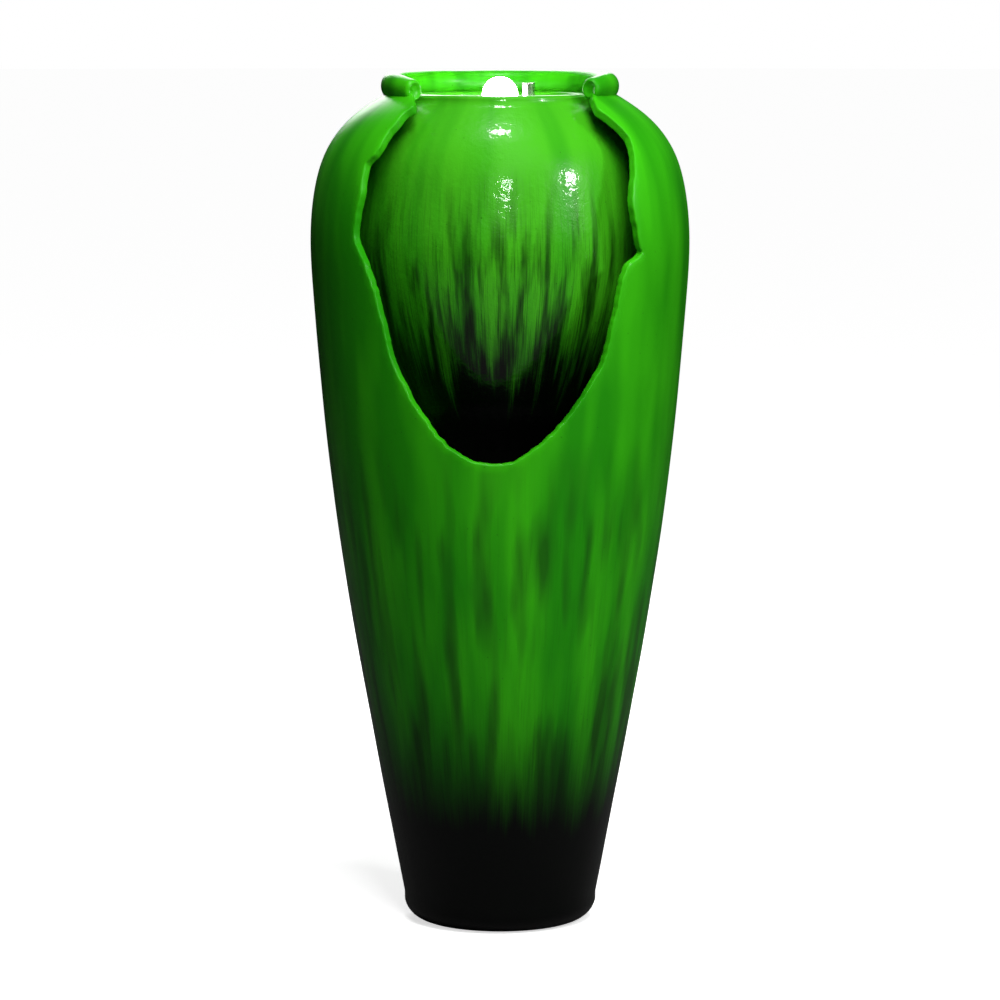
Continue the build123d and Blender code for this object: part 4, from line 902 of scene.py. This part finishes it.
@dataclass(frozen=True)
class GlazedStoneware(Finish):
    """Stoneware under a poured glossy glaze, brushed with a dark wash while wet.

    The eye gets saturated green, soft vertical runs where the wash pooled, and a foot that fades to
    black;
    on the jar, that black is partly dark glaze and partly painted shade.
    """

    name: str
    bright: str
    deep: str
    run: str
    black: str
    black_band: Pair  # heights in metres where it is all black and where it ends
    run_band: tuple[float, float, float, float]  # heights where runs begin, are full, and end
    run_width: float = 15.0  # mm across one run
    run_length: float = 130.0  # mm down one run
    run_amount: float = 0.8
    brush_width: float = 1.8  # mm across one brush line
    brush_amount: float = 0.3
    tilt: float = 0.015  # metres by which runs break up the edge of the black
    roughness: float = 0.3
    coat: float = 0.3
    coat_roughness: float = 0.12
    specular: float = 0.25
    softness: float = 1.5  # how much finer detail breaks up a run
    ripple: float = 0.2  # mm of unevenness in the glaze
    ripple_width: float = 26.0  # mm across one swell of it

    def wire(self, tree: bpy.types.NodeTree, shader: bpy.types.Node) -> None:
        """Joins up the nodes of the glaze.

        Args:
            tree: the material's nodes.
            shader: its surface shader.
        """
        place = add_node(tree, "TexCoord").outputs["Object"]
        height = add_node(tree, "SeparateXYZ", {0: place}).outputs["Z"]
        runs = self.streaks(tree, place, self.run_width, self.run_length, self.softness)
        soft = self.streaks(tree, place, 45.0, 260.0, 2.0)
        brush = self.streaks(tree, place, self.brush_width, 45.0, 4.0)
        tone = add_node(tree, "ValToRGB", {0: soft}, ramp=(
            (0.38, linear(self.deep)), (0.6, linear(self.bright))))
        first, full, last, end = self.run_band
        where = add_node(tree, "ValToRGB", {0: height}, ramp=(
            (first, grey(0)), (full, grey(1)), (last, grey(1)), (end, grey(0))))
        mask = add_node(tree, "ValToRGB", {0: runs}, ramp=((0.48, grey(0)), (0.66, grey(1))))
        weight = add_node(tree, "Math", {0: mask.outputs[0], 1: where.outputs[0]},
                          operation="MULTIPLY")
        weight = add_node(tree, "Math", {0: weight.outputs[0], 1: self.run_amount},
                          operation="MULTIPLY")
        dark = add_node(tree, "Mix", {0: weight.outputs[0], 6: tone.outputs[0],
                                      7: linear(self.run)}, data_type="RGBA")
        lines = add_node(tree, "ValToRGB", {0: brush}, ramp=(
            (0.5, grey(0)), (0.72, grey(self.brush_amount))))
        lines = add_node(tree, "Math", {0: lines.outputs[0], 1: where.outputs[0]},
                         operation="MULTIPLY")
        brushed = add_node(tree, "Mix", {0: lines.outputs[0], 6: dark.outputs[2],
                                         7: linear(self.black)}, data_type="RGBA")
        black = self.foot_mask(tree, height, runs, brush)
        colour = add_node(tree, "Mix", {0: black, 6: brushed.outputs[2],
                                        7: linear(self.black)}, data_type="RGBA")
        dots = add_node(tree, "TexVoronoi", {"Vector": place, "Scale": 1 / (11 * MM),
                                             "Randomness": 1.0}, feature="F1")
        pins = add_node(tree, "ValToRGB", {0: dots.outputs["Distance"]}, ramp=(
            (0.035, grey(0.7)), (0.055, grey(0))))
        final = add_node(tree, "Mix", {0: pins.outputs[0], 6: colour.outputs[2],
                                       7: linear(self.black)}, data_type="RGBA")
        tree.links.new(final.outputs[2], shader.inputs["Base Color"])
        sheen = add_node(tree, "MapRange", {0: brush, 3: self.roughness - 0.05,
                                            4: self.roughness + 0.1})
        tree.links.new(sheen.outputs[0], shader.inputs["Roughness"])
        self.relief(tree, shader, place, brush)
        shader.inputs["IOR"].default_value = 1.5
        shader.inputs["Specular IOR Level"].default_value = self.specular
        shader.inputs["Coat Weight"].default_value = self.coat
        shader.inputs["Coat Roughness"].default_value = self.coat_roughness

    @staticmethod
    def streaks(
        tree: bpy.types.NodeTree, place: bpy.types.NodeSocket, width: float, length: float,
        detail: float,
    ) -> bpy.types.NodeSocket:
        """Upright streaks that go round the pot without a seam.

        Args:
            tree: the material's nodes.
            place: output with the place on the piece.
            width: millimetres across a streak.
            length: millimetres down a streak.
            detail: how much finer breaks them up.

        Returns:
            Output with a number from 0 to 1.
        """
        flat = add_node(tree, "VectorMath", {0: place, 1: (1, 1, 0)}, operation="MULTIPLY")
        round_pot = add_node(tree, "VectorMath", {0: flat.outputs[0]}, operation="NORMALIZE")
        around = add_node(tree, "VectorMath", {0: round_pot.outputs[0], "Scale": NOISE_RADIUS},
                          operation="SCALE")
        up = add_node(tree, "VectorMath", {0: place, 1: (0, 0, width / length)},
                      operation="MULTIPLY")
        both = add_node(tree, "VectorMath", {0: around.outputs[0], 1: up.outputs[0]})
        cloud = add_node(tree, "TexNoise", {"Vector": both.outputs[0], "Detail": detail,
                                            "Scale": 1 / (width * MM), "Roughness": 0.55})
        return cloud.outputs[0]

    def foot_mask(
        self, tree: bpy.types.NodeTree, height: bpy.types.NodeSocket,
        runs: bpy.types.NodeSocket, brush: bpy.types.NodeSocket,
    ) -> bpy.types.NodeSocket:
        """Share of black, with the runs reaching down into it and up out of it.

        Args:
            tree: the material's nodes.
            height: output with the height.
            runs: output with the broad streaks.
            brush: output with the fine streaks.

        Returns:
            Output with a number from 0 to 1.
        """
        low, high = self.black_band
        broad = add_node(tree, "Math", {0: runs, 1: -4 * self.tilt, 2: 2 * self.tilt},
                         operation="MULTIPLY_ADD")
        fine = add_node(tree, "Math", {0: brush, 1: -2 * self.tilt, 2: self.tilt},
                        operation="MULTIPLY_ADD")
        shift = add_node(tree, "Math", {0: broad.outputs[0], 1: fine.outputs[0]})
        level = add_node(tree, "Math", {0: height, 1: shift.outputs[0]})
        mask = add_node(tree, "MapRange", {0: level.outputs[0], 1: low, 2: high, 3: 1.0, 4: 0.0},
                        interpolation_type="SMOOTHSTEP")
        return mask.outputs[0]

    def relief(
        self, tree: bpy.types.NodeTree, shader: bpy.types.Node,
        place: bpy.types.NodeSocket, brush: bpy.types.NodeSocket,
    ) -> None:
        """Unevenness of the glaze and the faint ridges that the brush left.

        Args:
            tree: the material's nodes.
            shader: its surface shader.
            place: output with the place on the piece.
            brush: output with the fine streaks.
        """
        waves = add_node(tree, "TexNoise", {"Vector": place, "Detail": 3.0,
                                            "Scale": 1 / (self.ripple_width * MM),
                                            "Roughness": 0.6})
        swell = add_node(tree, "Bump", {"Height": waves.outputs[0], "Strength": 1.0,
                                        "Distance": self.ripple * MM})
        ridges = add_node(tree, "Bump", {"Height": brush, "Strength": 1.0,
                                         "Distance": 0.04 * MM, "Normal": swell.outputs[0]})
        tree.links.new(ridges.outputs[0], shader.inputs["Normal"])
        tree.links.new(swell.outputs[0], shader.inputs["Coat Normal"])


@dataclass(frozen=True)
class Moulded(Finish):
    """Moulded polymer or rubber: one colour with a spark-eroded or blasted grain."""

    name: str
    colour: str
    shade: str
    roughness: float = 0.5
    grain: float = 0.9  # mm across one grain, coarser than real so that it shows
    depth: float = 0.06  # mm
    ior: float = 1.5
    see_through: float = 0.0

    def wire(self, tree: bpy.types.NodeTree, shader: bpy.types.Node) -> None:
        """Joins up the nodes of the moulding.

        Args:
            tree: the material's nodes.
            shader: its surface shader.
        """
        place = add_node(tree, "TexCoord").outputs["Object"]
        grain = add_node(tree, "TexNoise", {"Vector": place, "Scale": 1 / (self.grain * MM),
                                            "Detail": 4.0})
        cloud = add_node(tree, "TexNoise", {"Vector": place, "Scale": 1 / (22 * MM)})
        tone = add_node(tree, "ValToRGB", {0: cloud.outputs[0]}, ramp=(
            (0.35, linear(self.shade)), (0.65, linear(self.colour))))
        tree.links.new(tone.outputs[0], shader.inputs["Base Color"])
        gloss = add_node(tree, "MapRange", {0: grain.outputs[0], 3: self.roughness - 0.08,
                                            4: self.roughness + 0.08})
        tree.links.new(gloss.outputs[0], shader.inputs["Roughness"])
        bump = add_node(tree, "Bump", {"Height": grain.outputs[0], "Distance": self.depth * MM})
        tree.links.new(bump.outputs[0], shader.inputs["Normal"])
        shader.inputs["IOR"].default_value = self.ior
        shader.inputs["Transmission Weight"].default_value = self.see_through


class Grain(Enum):
    """Direction that a metal was worked in."""

    TURNED = (1.0, 0.05, 1.0)
    UPRIGHT = (1.0, 1.0, 0.05)


@dataclass(frozen=True)
class WorkedMetal(Finish):
    """Metal with the marks of how it was cast, turned or drawn."""

    name: str
    colour: str
    shade: str
    grain: Grain
    roughness: float = 0.3
    mark: float = 0.8  # mm across one mark
    depth: float = 0.03  # mm
    metallic: float = 1.0

    def wire(self, tree: bpy.types.NodeTree, shader: bpy.types.Node) -> None:
        """Joins up the nodes of the metal.

        Args:
            tree: the material's nodes.
            shader: its surface shader.
        """
        place = add_node(tree, "TexCoord").outputs["Object"]
        along = add_node(tree, "VectorMath", {0: place, 1: self.grain.value},
                         operation="MULTIPLY")
        marks = add_node(tree, "TexNoise", {"Vector": along.outputs[0], "Detail": 5.0,
                                            "Scale": 1 / (self.mark * MM)})
        stain = add_node(tree, "TexNoise", {"Vector": place, "Scale": 1 / (9 * MM)})
        tone = add_node(tree, "ValToRGB", {0: stain.outputs[0]}, ramp=(
            (0.38, linear(self.shade)), (0.6, linear(self.colour))))
        tree.links.new(tone.outputs[0], shader.inputs["Base Color"])
        gloss = add_node(tree, "MapRange", {0: marks.outputs[0], 3: self.roughness - 0.1,
                                            4: self.roughness + 0.15})
        tree.links.new(gloss.outputs[0], shader.inputs["Roughness"])
        bump = add_node(tree, "Bump", {"Height": marks.outputs[0], "Distance": self.depth * MM})
        tree.links.new(bump.outputs[0], shader.inputs["Normal"])
        shader.inputs["Metallic"].default_value = self.metallic


@dataclass(frozen=True)
class LitLens(Finish):
    """Frosted lens or emitter, lit from inside: white, a little brighter at its crown."""

    name: str
    colour: str
    strength: float

    def wire(self, tree: bpy.types.NodeTree, shader: bpy.types.Node) -> None:
        """Joins up the nodes of the lit surface.

        Args:
            tree: the material's nodes.
            shader: its surface shader.
        """
        place = add_node(tree, "TexCoord").outputs["Object"]
        frost = add_node(tree, "TexNoise", {"Vector": place, "Scale": 1 / (1.2 * MM)})
        glow = add_node(tree, "MapRange", {0: frost.outputs[0], 3: 0.85 * self.strength,
                                           4: 1.15 * self.strength})
        tree.links.new(glow.outputs[0], shader.inputs["Emission Strength"])
        bump = add_node(tree, "Bump", {"Height": frost.outputs[0], "Distance": 0.05 * MM})
        tree.links.new(bump.outputs[0], shader.inputs["Normal"])
        shader.inputs["Base Color"].default_value = linear(self.colour)
        shader.inputs["Emission Color"].default_value = linear(self.colour)
        shader.inputs["Roughness"].default_value = 0.35


URN_GLAZE = GlazedStoneware(
    "glazed stoneware, green with dark wash, urn", bright="#35AD0C", deep="#1F8A06",
    run="#14400A", black="#020302", black_band=(0.105, 0.275),
    run_band=(0.05, 0.2, 0.4, 0.5), run_width=21.0, run_length=150.0, run_amount=0.7,
    brush_amount=0.16, roughness=0.36, coat=0.1, coat_roughness=0.18,
)
# The water keeps the jar's face wet, so its glaze is glossier and its runs start higher.
# Its black below 0.54-0.66 m is partly dark glaze, partly painted shade deep under the urn's wall.
JAR_GLAZE = GlazedStoneware(
    "glazed stoneware, green with dark wash, wet jar", bright="#3FA616", deep="#2F9410",
    run="#0C2E06", black="#030403", black_band=(0.54, 0.66),
    run_band=(0.3, 0.55, 0.67, 0.76), run_width=14.0, run_length=90.0, run_amount=0.8,
    brush_width=1.2, brush_amount=0.55, tilt=0.045, roughness=0.32, coat=0.7,
    coat_roughness=0.04, softness=2.5, ripple=0.45, ripple_width=8.0,
)
# Glaze runs thin over a sharp edge and shows the pale body through it.
EDGE_GLAZE = GlazedStoneware(
    "glazed stoneware, thin pale glaze on broken edges", bright="#5CC63A", deep="#2F9A12",
    run="#2C7A14", black="#1B3A0C", black_band=(0.05, 0.08),
    run_band=(0.3, 0.5, 0.8, 0.95), run_width=7.0, run_length=14.0, run_amount=0.7,
    brush_amount=0.2, roughness=0.38, coat=0.2, ripple=0.5,
)


class Stock(Enum):
    """Finishes of the fittings."""

    POLYPROPYLENE = Moulded("moulded polypropylene, dark grey", "#2B2D2B", "#222422", 0.5)
    SHELF = Moulded("moulded recycled polyethylene, near black", "#1C1E1C", "#151715", 0.55, 1.4)
    PUMP = Moulded("moulded ABS, black", "#101114", "#0B0C0E", 0.32, 0.7, 0.03)
    NITRILE = Moulded("moulded nitrile rubber, black", "#17181A", "#101112", 0.65, 1.1, 0.05)
    LEAD = Moulded("extruded PVC lead jacket, black", "#141516", "#0E0F10", 0.45, 1.0, 0.02)
    VINYL = Moulded("extruded clear vinyl hose", "#C9D2CC", "#B7C2BA", 0.12, 3.0, 0.02, 1.53, 0.7)
    FOAM = Moulded("open-cell filter foam, charcoal", "#232427", "#0C0C0D", 0.9, 1.6, 1.2)
    BOARD = Moulded("fibreglass board under green solder mask", "#1B5E2C", "#134A20", 0.3, 2.2)
    ALUMINA = Moulded("ground alumina ceramic, off white", "#E9E7DF", "#D9D6CC", 0.4, 0.5, 0.01)
    FERRITE = Moulded("sintered ferrite magnet, dark grey", "#2A2A2D", "#1D1D20", 0.45, 0.5)
    BRASS = WorkedMetal("cast and turned brass", "#C9A552", "#8E6E2E", Grain.TURNED, 0.32)
    NICKEL = WorkedMetal("polished nickel plate on brass", "#F4F3EE", "#DEDCD4", Grain.TURNED, 0.22)
    STEEL = WorkedMetal("brushed stainless steel", "#B9BBBD", "#8E9194", Grain.UPRIGHT, 0.28)
    COPPER = WorkedMetal(
        "enamelled copper winding", "#B5602C", "#7F3D18", Grain.TURNED, 0.3, 0.6, 0.2)
    IRON = WorkedMetal("laminated core iron", "#6A6C70", "#4A4C50", Grain.TURNED, 0.45, 0.5, 0.1)
    LENS = LitLens("frosted polycarbonate lens, lit", "#F7FFF2", 34.0)
    EMITTER = LitLens("phosphor-coated light chips", "#FFFBE6", 30.0)


# ---------------------------------------------------------------- fittings
@dataclass
class Fittings:
    """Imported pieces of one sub-assembly, dressed in their real finishes."""

    title: str
    nodes: dict[str, Stock]
    softened: tuple[str, ...] = ()
    edge: float = 0.35  # mm of rounding on the softened pieces

    def build(self) -> list[bpy.types.Object]:
        """Dresses each piece and rounds the edges that show.

        Returns:
            The pieces.
        """
        made = []
        for name, stock in self.nodes.items():
            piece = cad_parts[name]
            dress(piece, stock.value.material())
            if name in self.softened:
                soften(piece, self.edge)
            made.append(piece)
        return made


def dress(piece: bpy.types.Object, material: bpy.types.Material) -> None:
    """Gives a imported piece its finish.

    Args:
        piece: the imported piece.
        material: its finish.
    """
    for place in piece.material_slots:
        place.material = material


def soften(piece: bpy.types.Object, width: float) -> None:
    """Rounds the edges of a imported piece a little.

    Args:
        piece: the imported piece.
        width: size of the rounding in millimetres.
    """
    modifier = piece.modifiers.new("rounded edges", "BEVEL")
    modifier.width, modifier.segments = width * MM, 2
    modifier.limit_method, modifier.angle_limit = "ANGLE", CREASE
    modifier.harden_normals = True


@dataclass
class RearHatch(Fittings):
    """Glazed service hatch with its frame, gasket and four hand screws."""

    title: str = "rear hatch"
    nodes: dict[str, Stock] = field(default_factory=lambda: {
        "hatch_frame": Stock.POLYPROPYLENE, "hatch_gasket": Stock.NITRILE,
        "screw_seals": Stock.NITRILE, "hatch_inserts": Stock.BRASS,
        **{f"hatch_thumbscrew_{n}": Stock.STEEL for n in range(1, 5)},
    })

    def build(self) -> list[bpy.types.Object]:
        """Dresses the fittings and glazes the cover like the urn.

        Returns:
            The pieces.
        """
        made = super().build()
        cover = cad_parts["hatch_cover"]
        dress(cover, URN_GLAZE.material())
        soften(cover, 0.8)
        return made + [cover]


# ---------------------------------------------------------------- studio
@dataclass
class AreaLamp:
    """One soft light that faces a point on the axis."""

    name: str
    azimuth: float  # degrees from the front, positive to the right
    elevation: float
    distance: float
    size: Pair
    power: float
    aim: float = 0.5  # height it faces, metres
    mirrored: bool = True  # whether glossy surfaces show it

    def build(self) -> None:
        """Makes the light."""
        data = bpy.data.lights.new(self.name, "AREA")
        data.shape, data.energy = "RECTANGLE", self.power
        data.size, data.size_y = self.size
        lamp = bpy.data.objects.new(self.name, data)
        across, up = math.radians(self.azimuth), math.radians(self.elevation)
        away = Vector((math.sin(across) * math.cos(up), -math.cos(across) * math.cos(up),
                       math.sin(up)))
        lamp.location = Vector((0, 0, self.aim)) + away * self.distance
        lamp.rotation_euler = away.to_track_quat("Z", "Y").to_euler()
        lamp.visible_glossy = self.mirrored
        bpy.context.scene.collection.objects.link(lamp)


@dataclass
class Studio:
    """Pale floor, soft lights and the camera."""

    floor_radius: float = 40.0
    camera_place: tuple[float, float, float] = (0.0, -4.3, 0.94)
    camera_down: float = 6.881
    lens: float = 156.7
    lamps: tuple[AreaLamp, ...] = (
        AreaLamp("key", 58.0, 22.0, 1.9, (0.24, 0.2), 12.0, 0.65),
        AreaLamp("front", 4.0, 20.0, 2.6, (0.24, 0.16), 6.0, 0.7),
        AreaLamp("top", 0.0, 78.0, 1.6, (0.3, 0.12), 8.0, 0.8),
        AreaLamp("fill", 14.0, 48.0, 2.2, (1.2, 1.2), 55.0, 0.6, False),
        AreaLamp("back", 186.0, 30.0, 2.4, (1.1, 1.1), 22.0, 0.4),
    )

    def build(self) -> None:
        """Makes the floor, the lights, the surroundings and the camera."""
        self.floor()
        self.surroundings()
        for lamp in self.lamps:
            lamp.build()
        data = bpy.data.cameras.new("camera")
        data.lens, data.sensor_width = self.lens, 36.0
        data.clip_end = 4 * self.floor_radius
        camera = bpy.data.objects.new("camera", data)
        camera.location = self.camera_place
        camera.rotation_euler = (math.radians(90 - self.camera_down), 0, 0)
        bpy.context.scene.collection.objects.link(camera)
        bpy.context.scene.camera = camera
        bpy.context.scene.view_settings.view_transform = "Standard"

    def floor(self) -> None:
        """Makes the pale floor, brightened for the eye so that it meets the white."""
        shape = bmesh.new()
        bmesh.ops.create_circle(shape, cap_ends=True, segments=96, radius=self.floor_radius)
        material = bpy.data.materials.new("matt white studio paper")
        material.use_nodes = True
        tree = material.node_tree
        tree.nodes.clear()
        place = add_node(tree, "TexCoord").outputs["Object"]
        fibre = add_node(tree, "TexNoise", {"Vector": place, "Scale": 1 / (3 * MM)})
        paper = add_node(tree, "ValToRGB", {0: fibre.outputs[0]}, ramp=(
            (0.4, linear("#F2F2F2")), (0.6, linear("#F6F6F6"))))
        matt = add_node(tree, "BsdfDiffuse", {"Color": paper.outputs[0]})
        away = add_node(tree, "VectorMath", {0: place}, operation="LENGTH").outputs["Value"]
        lift = add_node(tree, "MapRange", {0: away, 1: 0.3, 2: 1.6, 3: 0.72, 4: 1.05})
        glow = add_node(tree, "Emission", {"Color": paper.outputs[0],
                                           "Strength": lift.outputs[0]})
        both = add_node(tree, "AddShader", {0: matt.outputs[0], 1: glow.outputs[0]})
        seen = add_node(tree, "LightPath").outputs["Is Camera Ray"]
        dim = add_node(tree, "BsdfDiffuse", {"Color": grey(0.1)})
        mixed = add_node(tree, "MixShader", {0: seen, 1: dim.outputs[0], 2: both.outputs[0]})
        add_node(tree, "OutputMaterial", {"Surface": mixed.outputs[0]})
        floor = mesh_object("studio_floor", bmesh_to_mesh(shape, "floor"), material)

    @staticmethod
    def surroundings() -> None:
        """Makes white surroundings that light the piece only softly."""
        world = bpy.data.worlds.new("studio")
        bpy.context.scene.world = world
        world.use_nodes = True
        tree = world.node_tree
        tree.nodes.clear()
        way = add_node(tree, "TexCoord").outputs["Generated"]
        up = add_node(tree, "SeparateXYZ", {0: way}).outputs["Z"]
        shade = add_node(tree, "ValToRGB", {0: up}, ramp=((0.0, grey(0.25)), (1.0, grey(0.6))))
        seen = add_node(tree, "LightPath").outputs["Is Camera Ray"]
        tint = add_node(tree, "Mix", {0: seen, 6: shade.outputs[0], 7: grey(1.0)},
                        data_type="RGBA")
        power = add_node(tree, "MapRange", {0: seen, 3: 0.07, 4: 1.0})
        sky = add_node(tree, "Background", {"Color": tint.outputs[2],
                                            "Strength": power.outputs[0]})
        add_node(tree, "OutputWorld", {"Surface": sky.outputs[0]})


def main() -> None:
    """Builds the fountain piece by piece, then the studio."""
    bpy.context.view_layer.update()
    urn = OuterUrn().build(URN_GLAZE.material(), EDGE_GLAZE.material())
    LOG.info("%s: %d faces", urn.name, len(urn.data.polygons))
    jar = InnerJar().build(JAR_GLAZE.material())
    LOG.info("%s: %d faces", jar.name, len(jar.data.polygons))
    assemblies: list[Fittings] = [
        Fittings("shelf", {
            "jar_support_shelf": Stock.SHELF, "shelf_brackets": Stock.POLYPROPYLENE,
            "hose_grommet": Stock.NITRILE, "lamp_lead_grommet": Stock.NITRILE,
        }, ("jar_support_shelf",)),
        Fittings("pool tray", {
            "pool_tray": Stock.POLYPROPYLENE, "tray_seal_ring": Stock.NITRILE,
            "outlet_nozzle": Stock.NICKEL, "outlet_washer": Stock.NITRILE,
            "tray_nuts": Stock.BRASS,
        }, ("pool_tray",)),
        Fittings("pool lamp", {
            "lamp_housing": Stock.STEEL, "lamp_bezel": Stock.STEEL, "lamp_lens": Stock.LENS,
            "lamp_leds": Stock.EMITTER, "lamp_board": Stock.BOARD,
            "lamp_lens_seal": Stock.NITRILE, "lamp_base_seal": Stock.NITRILE,
            "lamp_lead": Stock.LEAD,
        }),
        Fittings("riser hose", {"riser_hose": Stock.VINYL, "hose_clips": Stock.STEEL}),
        Fittings("pump", {
            "pump_body": Stock.PUMP, "pump_end_cap": Stock.PUMP, "volute_cover": Stock.PUMP,
            "volute_seal": Stock.NITRILE, "impeller": Stock.POLYPROPYLENE,
            "rotor_magnet": Stock.FERRITE, "rotor_shaft": Stock.STEEL,
            "shaft_bushes": Stock.ALUMINA, "stator_core": Stock.IRON,
            "stator_coils": Stock.COPPER, "strainer_cover": Stock.PUMP,
            "strainer_sponge": Stock.FOAM, "flow_dial": Stock.POLYPROPYLENE,
            "suction_cups": Stock.NITRILE, "pump_lead": Stock.LEAD,
            "pump_strain_relief": Stock.NITRILE,
        }, ("pump_body", "strainer_cover", "volute_cover")),
        Fittings("junction box", {
            "junction_box": Stock.PUMP, "junction_lid": Stock.PUMP,
            "junction_seal": Stock.NITRILE, "junction_screws": Stock.STEEL,
            "junction_glands": Stock.POLYPROPYLENE, "junction_bracket": Stock.POLYPROPYLENE,
            "terminal_block": Stock.POLYPROPYLENE,
        }, ("junction_box", "junction_lid")),
        RearHatch(),
        Fittings("cable outlet", {"cable_grommet": Stock.NITRILE}, ("cable_grommet",)),
        Fittings("drain", {
            "drain_bush": Stock.BRASS, "drain_nut": Stock.BRASS, "drain_plug": Stock.BRASS,
            "drain_plug_seal": Stock.NITRILE,
        }, ("drain_bush", "drain_plug")),
    ]
    for assembly in assemblies:
        for piece in assembly.build():
            LOG.info("%s: %s", assembly.title, piece.name)
    Studio().build()


if __name__ == "__main__":
    logging.basicConfig(level=logging.INFO, format="%(message)s")
    main()
